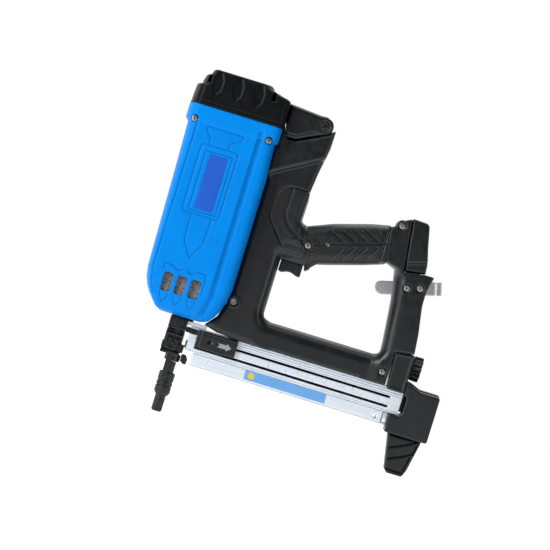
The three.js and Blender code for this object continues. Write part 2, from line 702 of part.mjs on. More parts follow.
// ---------- battery ----------
// How far the bay's front wall leans per millimetre of height.
const baySlope = (234.6 - 226.8) / (309.3 - 245);
const leanX = (x, z) => x + (247 - z) * baySlope;
add(
  "battery_pack",
  join(
    bothSides(
      [[227.4, 310.4, 1.5], [246, 309.5, 4], [249, 306, 3], [255, 280, 60], [260, 262, 12], [261, 250.4, 1],
        [235.2, 246.5, 0.5]],
      22, 3,
    ),
    bothSides(
      [[leanX(240, 252), 252], [leanX(240, 188), 188], [leanX(254.5, 188), 188], [leanX(254.5, 252), 252]],
      16,
    ),
  ),
  BLACK,
);
add("battery_terminals", bothSides([[244, 176], [263, 176], [262, 184], [243, 184]], 14), BRASS);

// ---------- belt hook ----------
function beltHook() {
  const thick = 2.5;
  const halfWidth = 8.5;
  const plateEnd = -14;
  const tip = -44;
  const bendAt = 24;
  const holeAt = -20.5;
  const near = POST_HALF + GAP;
  const far = near + 26;
  const middle = (near + far) / 2;
  const bendRadius = (far - near) / 2;
  const shape = new THREE.Shape();
  shape.moveTo(plateEnd, near);
  shape.lineTo(bendAt, near);
  shape.absarc(bendAt, middle, bendRadius, -Math.PI / 2, Math.PI / 2, false);
  shape.lineTo(tip, far);
  shape.lineTo(tip, far - thick);
  shape.lineTo(bendAt, far - thick);
  shape.absarc(bendAt, middle, bendRadius - thick, Math.PI / 2, -Math.PI / 2, true);
  shape.lineTo(plateEnd, near + thick);
  const depth = 2 * halfWidth;
  const ribbon = new THREE.ExtrudeGeometry(shape, { depth, bevelEnabled: false, curveSegments: 10 });
  ribbon.translate(0, 0, -halfWidth);
  const roundTip = bothSides(
    [[tip, -halfWidth, 8.4], [40, -halfWidth], [40, halfWidth], [tip, halfWidth, 8.4]],
    HUGE,
  );
  let hook = solid(ribbon).intersect(roundTip);
  for (const along of [-HOOK_SCREW_STEP, HOOK_SCREW_STEP]) {
    hook = hook.subtract(rod("y", 2.5, near - 1, near + thick + 1, [along, 0], 12));
  }
  hook = hook.subtract(rod("y", 2.5, far - thick - 1, far + 1, [holeAt, 0], 12));
  const degrees = -THREE.MathUtils.radToDeg(HOOK_TILT);
  return hook.rotate([0, degrees, 0]).translate([HOOK_MIDDLE[0], 0, HOOK_MIDDLE[1]]);
}
add("belt_hook", beltHook(), STEEL);
for (const [name, along] of [["front", -HOOK_SCREW_STEP], ["rear", HOOK_SCREW_STEP]]) {
  const at = hookPoint(along);
  const plateOuter = POST_HALF + GAP + 2.5;
  add(
    `hook_screw_${name}`,
    join(
      rod("y", 3.6, plateOuter + GAP, plateOuter + 3, at, 16),
      rod("y", 2.1, POST_HALF - 7.5, plateOuter + 1, at, 12),
    ),
    STEEL,
  );
}

// ---------- magazine ----------
const RAIL_TOP = 109.7;
const slotBox = (low, high, from, to) => box([from, to], [-MAGAZINE_HALF - 1, -10], [low, high]);
add(
  "magazine_rail",
  box([12, 277.5], [-MAGAZINE_HALF, MAGAZINE_HALF], [80, RAIL_TOP])
    .subtract(box([0, 300], [-10.5, 10.5], [83, 106.5]))
    .subtract(slotBox(97, 99.5, 20, 264))
    .subtract(box([0, 300], [-MAGAZINE_HALF - 1, -12.5], [85.5, 88]))
    .subtract(box([0, 300], [12.5, MAGAZINE_HALF + 1], [85.5, 88]))
    .subtract(box([0, 300], [12.5, MAGAZINE_HALF + 1], [97, 99.5])),
  ALUMINIUM,
);
add(
  "magazine_track",
  bothSides([[21.5, 65.5], [23, 64], [261, 64], [261, 79.7], [21.5, 79.7]], MAGAZINE_HALF - 1)
    .subtract(box([0, 300], [-9, 9], [67, 77])),
  ALUMINIUM,
);
add(
  "magazine_end",
  bothSides([[261.3, 63.5, 1], [267.2, 63.5, 1], [267.2, 79.5, 1], [261.3, 79.5, 1]], 13)
    .subtract(rod("y", 2.1, -20, 20, [264.2, 69], 12)),
  DARK_STEEL,
);
add("magazine_hanger", box([6.4, 29.5], [-12, 12], [RAIL_TOP + GAP, 114.4]), DARK_STEEL);
add(
  "pusher",
  join(
    plate(
      [[21.5, 87.5, 1], [71, 87.5, 1.5], [71, 108.5, 1.5], [21.5, 108.5, 1]],
      -21,
      -MAGAZINE_HALF - GAP,
      1,
    ),
    box([30, 60], [-MAGAZINE_HALF - 1, -8], [97.4, 99.1]),
    box([27, 62], [-9.6, 9.6], [86, 104]),
  ).subtract(rod("y", 2.4, -30, -17, [38.5, 99], 12)),
  BLACK,
);

// ---------- rear end of the magazine ----------
const BLOCK = [
  [267.6, 57, 2], [267.6, 79.3, 1], [279, 79.3], [282.5, 84, 2], [282.5, 103, 2], [279, 105.5],
  [278, 108],
  [278, 123, 1], [285, 119, 8], [296, 114.5, 6], [321, 114.5, 3], [321, 57, 3],
];
const drumAt = [301, 92];
for (const side of [-1, 1]) {
  const [low, high] = [side * GAP / 2, side * BLOCK_HALF].sort((a, b) => a - b);
  const block = plate(BLOCK, low, high).subtract(rod("y", 14, -10, 10, drumAt, 24));
  add(side < 0 ? "rear_block_left" : "rear_block_right", block, side < 0 ? BLACK : DARK_STEEL);
}
add("pusher_spring", rod("y", 13.5, -9, 9, drumAt, 24).subtract(rod("y", 5, -10, 10, drumAt, 16)), STEEL);
add(
  "foot",
  bothSides(
    [[273, 56.7, 1], [281, 15, 3], [285, 10.5, 2], [304, 10.5, 3], [308, 20, 8], [315, 56.7, 1]],
    16,
    2,
  ),
  BLACK,
);
add(
  "clamp_bracket",
  bothSides([[253.4, 151.4, 1], [256, 107, 1], [277.6, 107, 1], [277.6, 151.4, 2]], 23, 2)
    .subtract(box([240, 290], [-MAGAZINE_HALF - 0.4, MAGAZINE_HALF + 0.4], [100, 110.2]))
    .subtract(box([240, 253.4], [-HUGE, HUGE], [100, 160]))
    .subtract(rod("x", 3.3, 250, 290, [0, KNOB_Z], 16)),
  BLACK,
);
const knobLobes = Array.from({ length: 8 }, (_, lobe) => {
  const angle = (Math.PI / 4) * lobe;
  return rod("x", 4.2, 278.4, 290, [11 * Math.cos(angle), KNOB_Z + 11 * Math.sin(angle)], 12);
});
add(
  "knob",
  join(rod("x", 11.5, 278.4, 290, [0, KNOB_Z], 24), rod("x", 3, 257, 280, [0, KNOB_Z], 16), ...knobLobes),
  BLACK,
);

for (const [place, x] of Object.entries(COVER_SCREWS)) {
  const at = [x, COVER_SCREW_Z];
  add(
    `cover_screw_${place}`,
    join(
      rod("y", 3.8, -COVER_HALF - 1.9, -COVER_HALF - 0.1, at, 16),
      rod("y", 2, -COVER_HALF - 1, -COVER_HALF + 5, at, 12),
    ),
    STEEL,
  );
}

// ---------- origin ----------
const bounds = new THREE.Box3().setFromObject(tool);
const middle = bounds.getCenter(new THREE.Vector3());
tool.position.set(-middle.x, -middle.y, -bounds.min.z);

export default tool;
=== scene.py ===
"""A gas concrete nailer standing on its muzzle, seen from its left side.

Shapes are distance fields. A Block is a grid of points, a field holds each point's distance in millimetres
to a surface (negative inside), and cast() turns a field into a mesh. Sizes are in the tool's own frame:
driving axis at x = 0, y = 0, muzzle at z = 0, +X rearwards, +Y to the right, +Z up.
"""
import json
import math

import bpy
import numpy as np
import openvdb
from mathutils import Matrix, Vector


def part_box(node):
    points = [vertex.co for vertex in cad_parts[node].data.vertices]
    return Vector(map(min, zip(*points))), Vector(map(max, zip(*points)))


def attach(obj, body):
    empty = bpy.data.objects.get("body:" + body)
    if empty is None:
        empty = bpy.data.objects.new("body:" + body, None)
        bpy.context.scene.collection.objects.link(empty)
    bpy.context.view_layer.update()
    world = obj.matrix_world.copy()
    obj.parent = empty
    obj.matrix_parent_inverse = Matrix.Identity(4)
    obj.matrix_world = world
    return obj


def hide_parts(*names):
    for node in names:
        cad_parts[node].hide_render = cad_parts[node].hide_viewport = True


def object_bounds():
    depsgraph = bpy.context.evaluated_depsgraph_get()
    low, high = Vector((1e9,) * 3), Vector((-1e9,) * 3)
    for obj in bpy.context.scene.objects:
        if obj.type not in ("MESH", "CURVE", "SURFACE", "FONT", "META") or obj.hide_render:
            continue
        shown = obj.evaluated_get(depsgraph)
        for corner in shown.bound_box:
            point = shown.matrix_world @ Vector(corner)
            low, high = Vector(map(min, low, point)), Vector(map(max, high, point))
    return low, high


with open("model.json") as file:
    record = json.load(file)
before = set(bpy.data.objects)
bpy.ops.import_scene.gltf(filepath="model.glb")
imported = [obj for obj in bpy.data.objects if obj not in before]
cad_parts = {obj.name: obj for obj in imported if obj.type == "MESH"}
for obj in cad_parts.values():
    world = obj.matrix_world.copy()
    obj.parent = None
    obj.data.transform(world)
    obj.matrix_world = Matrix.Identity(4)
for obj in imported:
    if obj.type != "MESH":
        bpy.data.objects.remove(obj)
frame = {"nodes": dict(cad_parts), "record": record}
cad_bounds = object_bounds()

# ---------- driving sizes, in millimetres ----------
MM = 0.001
# x of the driving axis in the row frame, in metres
AXIS_X = sum(corner.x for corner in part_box("probe_tube")) / 2
WALL = 3
GAP = 0.3
COVER_HALF = 50
CELL_HALF = 31
COLUMN_HALF = 26
GRIP_HALF = 19
POST_HALF = 24
BRIDGE_HALF = 21
MAGAZINE_HALF = 15
BLOCK_HALF = 22
DOOR_PIN = (94, 384)
DOOR_SWING = 46.5  # the door's front end stays inside this radius, so that it clears the cap as it opens
HOOK_MIDDLE = (251.7, 230.5)
HOOK_TILT = math.radians(15)
HOOK_SCREW_STEP = 8
HOOK_BEND = 24  # where the strip starts to bend back, along it from HOOK_MIDDLE
HOOK_HOLE = -20.5
HOOK_THICK = 2.5
HOOK_REACH = 26  # how far the hook stands off the post
KNOB_Z = 139
BLADE_BORE = 3.8  # radius of the driver blade's way through the nose
GUIDE_SCREW = (-5, 83.5)
COVER_SCREWS = {"front": -56, "rear": 35.5}  # x
COVER_SCREW_Z = 347.5
VENTS = [(-36.5, -25), (-20, -8), (-3, 9)]  # the three air slots, from x to x
VENT_Z = (141.5, 164)
SHELL_SCREWS = {  # x, z, head radius and the half width there
    "shell_screw_grip": (116.5, 243, 4, GRIP_HALF + 1.2),
    "shell_screw_tower": (217.5, 298, 4, POST_HALF),
    "shell_screw_column": (51, 153, 4.4, COLUMN_HALF),
    "shell_screw_post": (245, 125, 4, POST_HALF),
}


# ---------- fields ----------
class Block:
    """A grid of points in the tool frame; step is one number or one per axis."""

    def __init__(self, low, high, step):
        self.step = np.broadcast_to(np.array(step, np.float32), 3)
        self.start = np.array(low, np.float32) - 2.5 * self.step
        counts = np.ceil((np.array(high) - self.start) / self.step + 3).astype(int)
        axes = [self.start[i] + self.step[i] * np.arange(counts[i], dtype=np.float32) for i in range(3)]
        self.x = axes[0][:, None, None]
        self.y = axes[1][None, :, None]
        self.z = axes[2][None, None, :]

    def plan(self, points, closed=True):
        """Distance to an outline or line drawn in the XZ plane."""
        return line_distance(self.x, self.z, points, closed)


def block_over(node, step, margin=1.0):
    """A Block round a CAD node."""
    low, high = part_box(node)
    shift = Vector((AXIS_X, 0, 0))
    low = [value / MM - margin for value in low - shift]
    high = [value / MM + margin for value in high - shift]
    return Block(low, high, step)


def line_distance(a, b, points, closed=True):
    """Distance from the points (a, b) to a line; for a closed line, negative inside it."""
    nearest = np.float32(1e9)
    inside = False
    ends = points[1:] + points[:1] if closed else points[1:]
    for (a0, b0), (a1, b1) in zip(points, ends):
        da, db = a1 - a0, b1 - b0
        along = np.clip(((a - a0) * da + (b - b0) * db) / (da * da + db * db), 0, 1)
        nearest = np.minimum(nearest, (a - a0 - along * da) ** 2 + (b - b0 - along * db) ** 2)
        if closed and db:
            crossed = ((b0 > b) != (b1 > b)) & (a < da * (b - b0) / db + a0)
            inside = inside ^ crossed
    distance = np.sqrt(nearest)
    return np.where(inside, -distance, distance) if closed else distance


def outline(corners, steps=5):
    """A closed outline from corners (x, z) or (x, z, radius); a corner with a radius becomes an arc."""
    points = []
    for i, corner in enumerate(corners):
        here = Vector(corner[:2])
        radius = corner[2] if len(corner) > 2 else 0
        if not radius:
            points.append(tuple(here))
            continue
        back = Vector(corners[i - 1][:2]) - here
        ahead = Vector(corners[(i + 1) % len(corners)][:2]) - here
        half_angle = back.angle(ahead) / 2
        reach = min(radius / math.tan(half_angle), 0.48 * min(back.length, ahead.length))
        for k in range(steps + 1):
            t = k / steps
            weight = (1 - t) ** 2 + t ** 2 + 2 * t * (1 - t) * math.sin(half_angle)
            pull = back.normalized() * (1 - t) ** 2 + ahead.normalized() * t ** 2
            points.append(tuple(here + pull * reach / weight))
    return points


def rounded(a, b, radius):
    """The part inside both fields, with a rounded edge between them."""
    a, b = a + radius, b + radius
    return np.minimum(np.maximum(a, b), 0) + np.hypot(np.maximum(a, 0), np.maximum(b, 0)) - radius


def filleted(a, b, radius):
    """The part inside either field, with a fillet where they meet."""
    return -rounded(-a, -b, radius)


def cut(body, tool, radius=0.0):
    """The body without the tool, with the new edges rounded."""
    return rounded(body, -tool, radius)


def between(values, low, high):
    """Distance to the slab from low to high."""
    return np.abs(values - (low + high) / 2) - (high - low) / 2


def plate(block, corners, half, edge):
    """A plate drawn in the XZ plane, half wide on both sides of y = 0; half may also be (from y, to y)."""
    low, high = half if isinstance(half, tuple) else (-half, half)
    return rounded(block.plan(outline(corners)), between(block.y, low, high), edge)


def brick(block, x, y, z, edge=0.0):
    """A box from three (low, high) pairs."""
    flat = rounded(between(block.x, *x), between(block.z, *z), edge)
    return rounded(flat, between(block.y, *y), edge)


def pin(block, axis, centre, radius, low, high, edge=0.0):
    """A round bar along an axis; centre holds its two other coordinates in x, y, z order."""
    first, second = [getattr(block, name) for name in "xyz" if name != axis]
    round_axis = np.hypot(first - centre[0], second - centre[1]) - radius
    return rounded(round_axis, between(getattr(block, axis), low, high), edge)


def bump(distance, width):
    """1 on a line, falling smoothly to 0 at half the width from it."""
    return np.clip(1 - (distance / (width / 2)) ** 2, 0, 1) ** 2


def ramp(values, width):
    """0 below zero, rising smoothly to 1 at the width."""
    t = np.clip(values / width, 0, 1)
    return t * t * (3 - 2 * t)


def slanted(block, centre, angle):
    """Distances along and across a line through the centre that rises rearwards at the angle."""
    x, z = block.x - centre[0], block.z - centre[1]
    return x * math.cos(angle) + z * math.sin(angle), z * math.cos(angle) - x * math.sin(angle)


def levels_body(block, levels):
    """A body with flat sides and a domed front; each level holds z, front, crease, back and half width."""
    heights = [level[0] for level in levels]
    front, crease, back, half = [
        np.interp(block.z, heights, [level[i] for level in levels]).astype(np.float32) for i in range(1, 5)
    ]
    ahead = np.maximum(crease - block.x, 0) / (crease - front)
    side = (np.sqrt(ahead ** 2.5 + (block.y / half) ** 2) - 1) * half
    body = rounded(side, block.x - back, 11)
    slopes = np.gradient(body, *block.step)
    return body / np.clip(np.sqrt(sum(slope ** 2 for slope in slopes)), 0.6, 8)


# ---------- pieces ----------
def mesh_object(name, points, triangles, quads):
    """An object from a mesh in row-frame metres."""
    mesh = bpy.data.meshes.new(name)
    mesh.vertices.add(len(points))
    mesh.vertices.foreach_set("co", np.ascontiguousarray(points, np.float32).ravel())
    corners = np.concatenate([triangles.ravel(), quads.ravel()]).astype(np.int32)
    mesh.loops.add(len(corners))
    mesh.loops.foreach_set("vertex_index", corners)
    starts = [3 * np.arange(len(triangles)), 3 * len(triangles) + 4 * np.arange(len(quads))]
    starts = np.concatenate(starts).astype(np.int32)
    mesh.polygons.add(len(starts))
    mesh.polygons.foreach_set("loop_start", starts)
    mesh.polygons.foreach_set("use_smooth", np.ones(len(starts), bool))
    mesh.update(calc_edges=True)
    mesh.validate()
    made = bpy.data.objects.new(name, mesh)
    bpy.context.scene.collection.objects.link(made)
    return made


def cast(name, block, field, mirror=False, adaptivity=0.0):
    """The surface of a field as an object; mirror puts it on the other side of y = 0."""
    grid = openvdb.FloatGrid(3.0)
    grid.copyFromArray(np.clip(field / block.step[1], -3, 3).astype(np.float32))
    points, triangles, quads = grid.convertToPolygons(isovalue=0.0, adaptivity=adaptivity)
    points = (points * block.step + block.start) * MM
    if mirror:
        points = points * (1, -1, 1)
        triangles, quads = triangles[:, ::-1], quads[:, ::-1]
    return mesh_object(name, points + (AXIS_X, 0, 0), triangles, quads)


def flat_faces(made):
    """Flat shading, for a long piece whose grid is coarse along its length."""
    made.data.polygons.foreach_set("use_smooth", [False] * len(made.data.polygons))
    return made


def finish_piece(made, material, body, *nodes):
    """Sets a piece's material, the body it rides on and the CAD nodes it stands for."""
    made.data.materials.append(MATERIALS[material])
    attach(made, body)
    if nodes:
        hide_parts(*nodes)


def turned(name, profile, axis="z", centre=(0, 0), steps=64):
    """A closed profile of (radius, height) turned about an axis."""
    points, quads = [], []
    count = len(profile)
    for i in range(steps):
        angle = 2 * math.pi * i / steps
        for radius, height in profile:
            a, b = centre[0] + radius * math.cos(angle), centre[1] + radius * math.sin(angle)
            points.append({"x": (height, a, b), "y": (a, height, b), "z": (a, b, height)}[axis])
    for i in range(steps):
        for k in range(count):
            here, there = i * count, (i + 1) % steps * count
            quad = [here + k, there + k, there + (k + 1) % count, here + (k + 1) % count]
            quads.append(quad[::-1] if axis == "y" else quad)
    points = np.array(points) * MM + (AXIS_X, 0, 0)
    made = mesh_object(name, points, np.zeros((0, 3), int), np.array(quads))
    bevel(made, 0.25)
    return made


def bevel(made, width):
    """Rounds a mesh's sharp edges."""
    modifier = made.modifiers.new("edges", "BEVEL")
    modifier.width = width * MM
    modifier.segments = 2
    modifier.limit_method = "ANGLE"
    modifier.angle_limit = math.radians(25)
    modifier.harden_normals = True


def slab(name, corners, from_y, to_y, edge=0.2):
    """A thin plate drawn in the XZ plane, with bevelled edges."""
    points = outline(corners)
    count = len(points)
    made = bpy.data.meshes.new(name)
    vertices = [(x * MM + AXIS_X, y * MM, z * MM) for y in (from_y, to_y) for x, z in points]
    sides = [(k, (k + 1) % count, count + (k + 1) % count, count + k) for k in range(count)]
    made.from_pydata(vertices, [], [list(range(count))[::-1], list(range(count, 2 * count)), *sides])
    made.update()
    made.polygons.foreach_set("use_smooth", [True] * len(made.polygons))
    shown = bpy.data.objects.new(name, made)
    bpy.context.scene.collection.objects.link(shown)
    bevel(shown, edge)
    return shown


# ---------- materials ----------
class Look:
    """A material's node tree, built up one step at a time."""

    def __init__(self, name):
        self.material = bpy.data.materials.new(name)
        self.material.use_nodes = True
        self.tree = self.material.node_tree
        self.shader = self.tree.nodes["Principled BSDF"]
        self.place = self.add("ShaderNodeTexCoord").outputs["Object"]
        self.normal = None

    def add(self, kind, **values):
        node = self.tree.nodes.new(kind)
        for key, value in values.items():
            if key in node.inputs:
                node.inputs[key].default_value = value
            else:
                setattr(node, key, value)
        return node

    def link(self, source, target):
        self.tree.links.new(source, target)

    def noise(self, scale, detail=3.0, stretch=(1, 1, 1)):
        """Noise from 0 to 1; scale is in cells per metre."""
        mapping = self.add("ShaderNodeMapping")
        mapping.inputs["Scale"].default_value = stretch
        self.link(self.place, mapping.inputs["Vector"])
        texture = self.add("ShaderNodeTexNoise", Scale=scale, Detail=detail)
        self.link(mapping.outputs["Vector"], texture.inputs["Vector"])
        return texture.outputs["Fac"]

    def spread(self, source, low, high, start=0.3, end=0.7):
        """A value carried from start..end to low..high."""
        node = self.add("ShaderNodeMapRange")
        for key, value in zip(("From Min", "From Max", "To Min", "To Max"), (start, end, low, high)):
            node.inputs[key].default_value = value
        self.link(source, node.inputs["Value"])
        return node.outputs["Result"]

    def mix(self, factor, first, second):
        """Two colours mixed; each is a colour or a socket."""
        node = self.add("ShaderNodeMix", data_type="RGBA")
        for value, target in ((first, node.inputs["A"]), (second, node.inputs["B"])):
            target = [s for s in node.inputs if s.name == target.name and s.type == "RGBA"][0]
            if isinstance(value, tuple):
                target.default_value = (*value, 1)
            else:
                self.link(value, target)
        self.link(factor, node.inputs["Factor"])
        return [s for s in node.outputs if s.type == "RGBA"][0]

    def bump(self, source, height):
        """Adds a relief of that height in millimetres on top of the ones before."""
        node = self.add("ShaderNodeBump", Strength=1.0, Distance=height * MM)
        self.link(source, node.inputs["Height"])
        if self.normal:
            self.link(self.normal, node.inputs["Normal"])
        self.normal = node.outputs["Normal"]
        self.link(self.normal, self.shader.inputs["Normal"])

    def edges(self, low=0.52, high=0.6):
        """0 on faces and 1 on outer edges, where lighter edges go: partly wear, partly painted highlight."""
        geometry = self.add("ShaderNodeNewGeometry")
        return self.spread(geometry.outputs["Pointiness"], 0.0, 1.0, low, high)

    def hollow_shade_mask(self):
        """0 on faces and nearly 1 in grooves and corners, where painted shade goes."""
        geometry = self.add("ShaderNodeNewGeometry")
        return self.spread(geometry.outputs["Pointiness"], 0.85, 0.0, 0.455, 0.492)

    def product(self, first, second):
        node = self.add("ShaderNodeMath", operation="MULTIPLY")
        self.link(first, node.inputs[0])
        self.link(second, node.inputs[1])
        return node.outputs["Value"]

    def colour(self, source):
        self.link(source, self.shader.inputs["Base Color"])

    def rough(self, source):
        self.link(source, self.shader.inputs["Roughness"])

    def constant(self, **values):
        for key, value in values.items():
            self.shader.inputs[key.replace("_", " ")].default_value = value


def moulded(name, dark, light, edge_wear_and_highlight, rough, grain, gloss=0.3):
    """A plastic: cloudy tone, fine grain and uneven shine; an edge colour adds lighter outer edges, partly
    wear and partly painted highlight, and painted shade in grooves and corners.
    """
    look = Look(name)
    cloud = look.noise(35, 4.0)
    base = look.mix(look.spread(cloud, 0, 1), dark, light)
    if edge_wear_and_highlight:
        # Lighter outer edges broken up by noise: partly wear, partly painted highlight.
        edge_wear_and_highlight_mask = look.product(look.edges(), look.spread(look.noise(260, 5.0), 0, 0.55, 0.45, 0.65))
        # Painted shade: grooves and corners darkened to a quarter of the dark tone.
        base = look.mix(look.hollow_shade_mask(), base, tuple(value * 0.25 for value in dark))
        base = look.mix(edge_wear_and_highlight_mask, base, edge_wear_and_highlight)
    look.colour(base)
    look.rough(look.spread(look.noise(120, 4.0), rough - 0.06, rough + 0.07))
    look.bump(look.noise(2600, 2.0), grain)
    look.bump(look.noise(400, 2.0), grain * 0.6)
    look.constant(Specular_IOR_Level=gloss)
    return look


def housing_black():
    # The third colour lightens outer edges: partly wear, partly painted highlight.
    dark, light, edge_wear_and_highlight = (0.0022, 0.003, 0.004), (0.0045, 0.0058, 0.0072), (0.035, 0.038, 0.042)
    return moulded("housing_black", dark, light, edge_wear_and_highlight, rough=0.34, grain=0.02, gloss=0.42)


def cap_black_painted_shade():
    # Darker than the housing's black: painted shade on the top of the tool. The third colour lightens outer
    # edges, partly wear and partly painted highlight.
    dark, light, edge_wear_and_highlight = (0.002, 0.0025, 0.003), (0.0035, 0.004, 0.0046), (0.025, 0.026, 0.028)
    return moulded("cap_black_painted_shade", dark, light, edge_wear_and_highlight, rough=0.42, grain=0.015, gloss=0.12)


def cover_blue():
    # The third colour lightens outer edges: partly wear, partly painted highlight.
    dark, light, edge_wear_and_highlight = (0.0, 0.17, 0.56), (0.0, 0.187, 0.6), (0.01, 0.23, 0.66)
    return moulded("cover_blue", dark, light, edge_wear_and_highlight, rough=0.45, grain=0.006, gloss=0.05)


def grip_rubber():
    # The third colour lightens outer edges: partly wear, partly painted highlight.
    dark, light, edge_wear_and_highlight = (0.003, 0.0036, 0.0044), (0.0055, 0.0062, 0.007), (0.03, 0.031, 0.033)
    return moulded("grip_rubber", dark, light, edge_wear_and_highlight, rough=0.4, grain=0.03, gloss=0.4)


def label_blue():
    dark, light = (0.012, 0.075, 0.4), (0.018, 0.09, 0.46)
    return moulded("label_blue", dark, light, None, rough=0.35, grain=0.002, gloss=0.1)


def label_pale():
    return moulded("label_pale", (0.1, 0.28, 0.56), (0.12, 0.32, 0.62), None, rough=0.35, grain=0.003)


def label_yellow():
    return moulded("label_yellow", (0.5, 0.38, 0.04), (0.6, 0.45, 0.06), None, rough=0.35, grain=0.003)


def arrow_print():
    return moulded("arrow_print", (0.2, 0.22, 0.235), (0.27, 0.29, 0.3), None, rough=0.5, grain=0.004)


def cast_brown():
    # The third colour lightens outer edges: partly wear, partly painted highlight.
    return moulded("cast_brown", (0.05, 0.033, 0.025), (0.075, 0.048, 0.035), (0.2, 0.13, 0.09), 0.5, 0.03)


def metal(name, dark, light, rough, streak, scratch, metalness=1.0, edge_wear_and_highlight=None):
    """Worked metal: tone and scratches run along the streak; an edge colour adds painted shade in hollows and
    lighter edges, partly wear and partly painted highlight.
    """
    look = Look(name)
    lines = look.noise(900, 4.0, streak)
    base = look.mix(look.spread(lines, 0, 1), dark, light)
    if edge_wear_and_highlight:
        # Painted shade: hollows darkened to a third of the dark tone.
        base = look.mix(look.hollow_shade_mask(), base, tuple(value * 0.3 for value in dark))
        # Lighter edges: partly wear, partly painted highlight.
        base = look.mix(look.edges(0.56, 0.7), base, edge_wear_and_highlight)
    look.colour(base)
    shine = look.spread(look.noise(150, 5.0), rough - 0.07, rough + 0.1)
    look.rough(shine)
    look.bump(lines, scratch)
    look.bump(look.noise(220, 3.0), scratch * 1.5)
    look.constant(Metallic=metalness)
    return look


def aluminium():
    return metal("aluminium", (0.64, 0.7, 0.77), (0.72, 0.78, 0.84), 0.32, (0.03, 1, 1), 0.001, 0.6)


def steel():
    return metal("steel", (0.5, 0.52, 0.55), (0.66, 0.68, 0.71), 0.34, (1, 1, 0.08), 0.003, 0.7)


def dark_steel():
    # The third colour, a bluish grey, lights the edges: painted highlight, partly wear.
    dark, light, edge_wear_and_highlight = (0.004, 0.0048, 0.006), (0.01, 0.0115, 0.0135), (0.1, 0.12, 0.15)
    return metal("dark_steel", dark, light, 0.2, (1, 1, 0.2), 0.001, metalness=0.3, edge_wear_and_highlight=edge_wear_and_highlight)


def brass():
    return metal("brass", (0.5, 0.46, 0.36), (0.7, 0.66, 0.54), 0.3, (1, 1, 1), 0.008)


def zinc():
    return metal("zinc", (0.2, 0.2, 0.19), (0.36, 0.35, 0.32), 0.27, (1, 1, 1), 0.006)


def can():
    return metal("can", (0.62, 0.64, 0.66), (0.74, 0.76, 0.78), 0.28, (1, 1, 0.05), 0.003, 0.6)


def board_green():
    # The third colour lightens outer edges: partly wear, partly painted highlight.
    return moulded("board_green", (0.02, 0.19, 0.07), (0.03, 0.26, 0.1), (0.3, 0.5, 0.3), 0.35, 0.01)


def foam():
    """Grey wire gauze: bright crossings over dark holes; the dark in the holes is painted shade."""
    look = Look("foam")
    cells = look.add("ShaderNodeTexVoronoi", Scale=1100.0)
    look.link(look.place, cells.inputs["Vector"])
    height = look.spread(cells.outputs["Distance"], 1.0, 0.0, 0.15, 0.75)
    # Painted shade: the holes between the wires are painted near black.
    look.colour(look.mix(height, (0.04, 0.04, 0.042), (0.42, 0.41, 0.4)))
    look.bump(height, 0.5)
    look.rough(look.spread(look.noise(900), 0.45, 0.65))
    look.constant(Metallic=0.3)
    return look


MATERIALS = {
    build.__name__: build().material
    for build in (
        housing_black, cap_black_painted_shade, cover_blue, grip_rubber, label_blue, label_pale, label_yellow,
        arrow_print, cast_brown, aluminium, steel, dark_steel, brass, zinc, can, board_green, foam,
    )
}


# ---------- front cover ----------
COVER_LEVELS = [
    (117, -33, -29, 24, 26), (121, -38, -34, 29, 33), (127, -43, -38, 34, 39), (134, -49, -43, 38, 44),
    (142, -54, -47, 41, 47), (152, -58, -50, 44, 49), (165, -60, -52, 46, 50), (303, -63.5, -52, 46, 50),
    (345.7, -65, -52, 43.5, 50), (370, -66, -52, 43, 50),
]
COLLAR_LEVELS = [(330, -68.5, -53, 46.5, 50.8), (366, -69, -54, 47, 51.2)]
COVER_LINES = [  # engraved on both side faces: a hammer, a double frame and a pointed blade
    [(-31, 323), (-31, 330), (-37, 337), (-38, 343), (6, 343), (5, 337), (-7, 330), (-7, 323)],
    [(-36, 322), (3, 322), (6, 319), (6, 242), (3, 239), (-36, 239), (-39, 242), (-39, 319), (-36, 322)],
    [(-32, 315), (1, 315), (1, 243), (-32, 243), (-32, 315)],
    [(-27, 238), (-26, 207), (-14, 187), (-3, 207), (-2, 238)],
    [(-39, 167), (-39, 173.5), (-29, 173.5), (-26, 170), (-19, 170), (-16, 173.5)],
    [(-12, 173.5), (-9, 170), (-4, 170), (0, 173.5), (11, 173.5), (12, 167), (12, 150)],
]
FOLD_LINE = [(25, 352), (25, 150), (22, 138), (17, 122)]
CREASE_LINE = [(-52, 344), (-52, 165), (-49, 148), (-43, 134), (-36, 124)]
LABEL = (-27, -3, 245, 313)


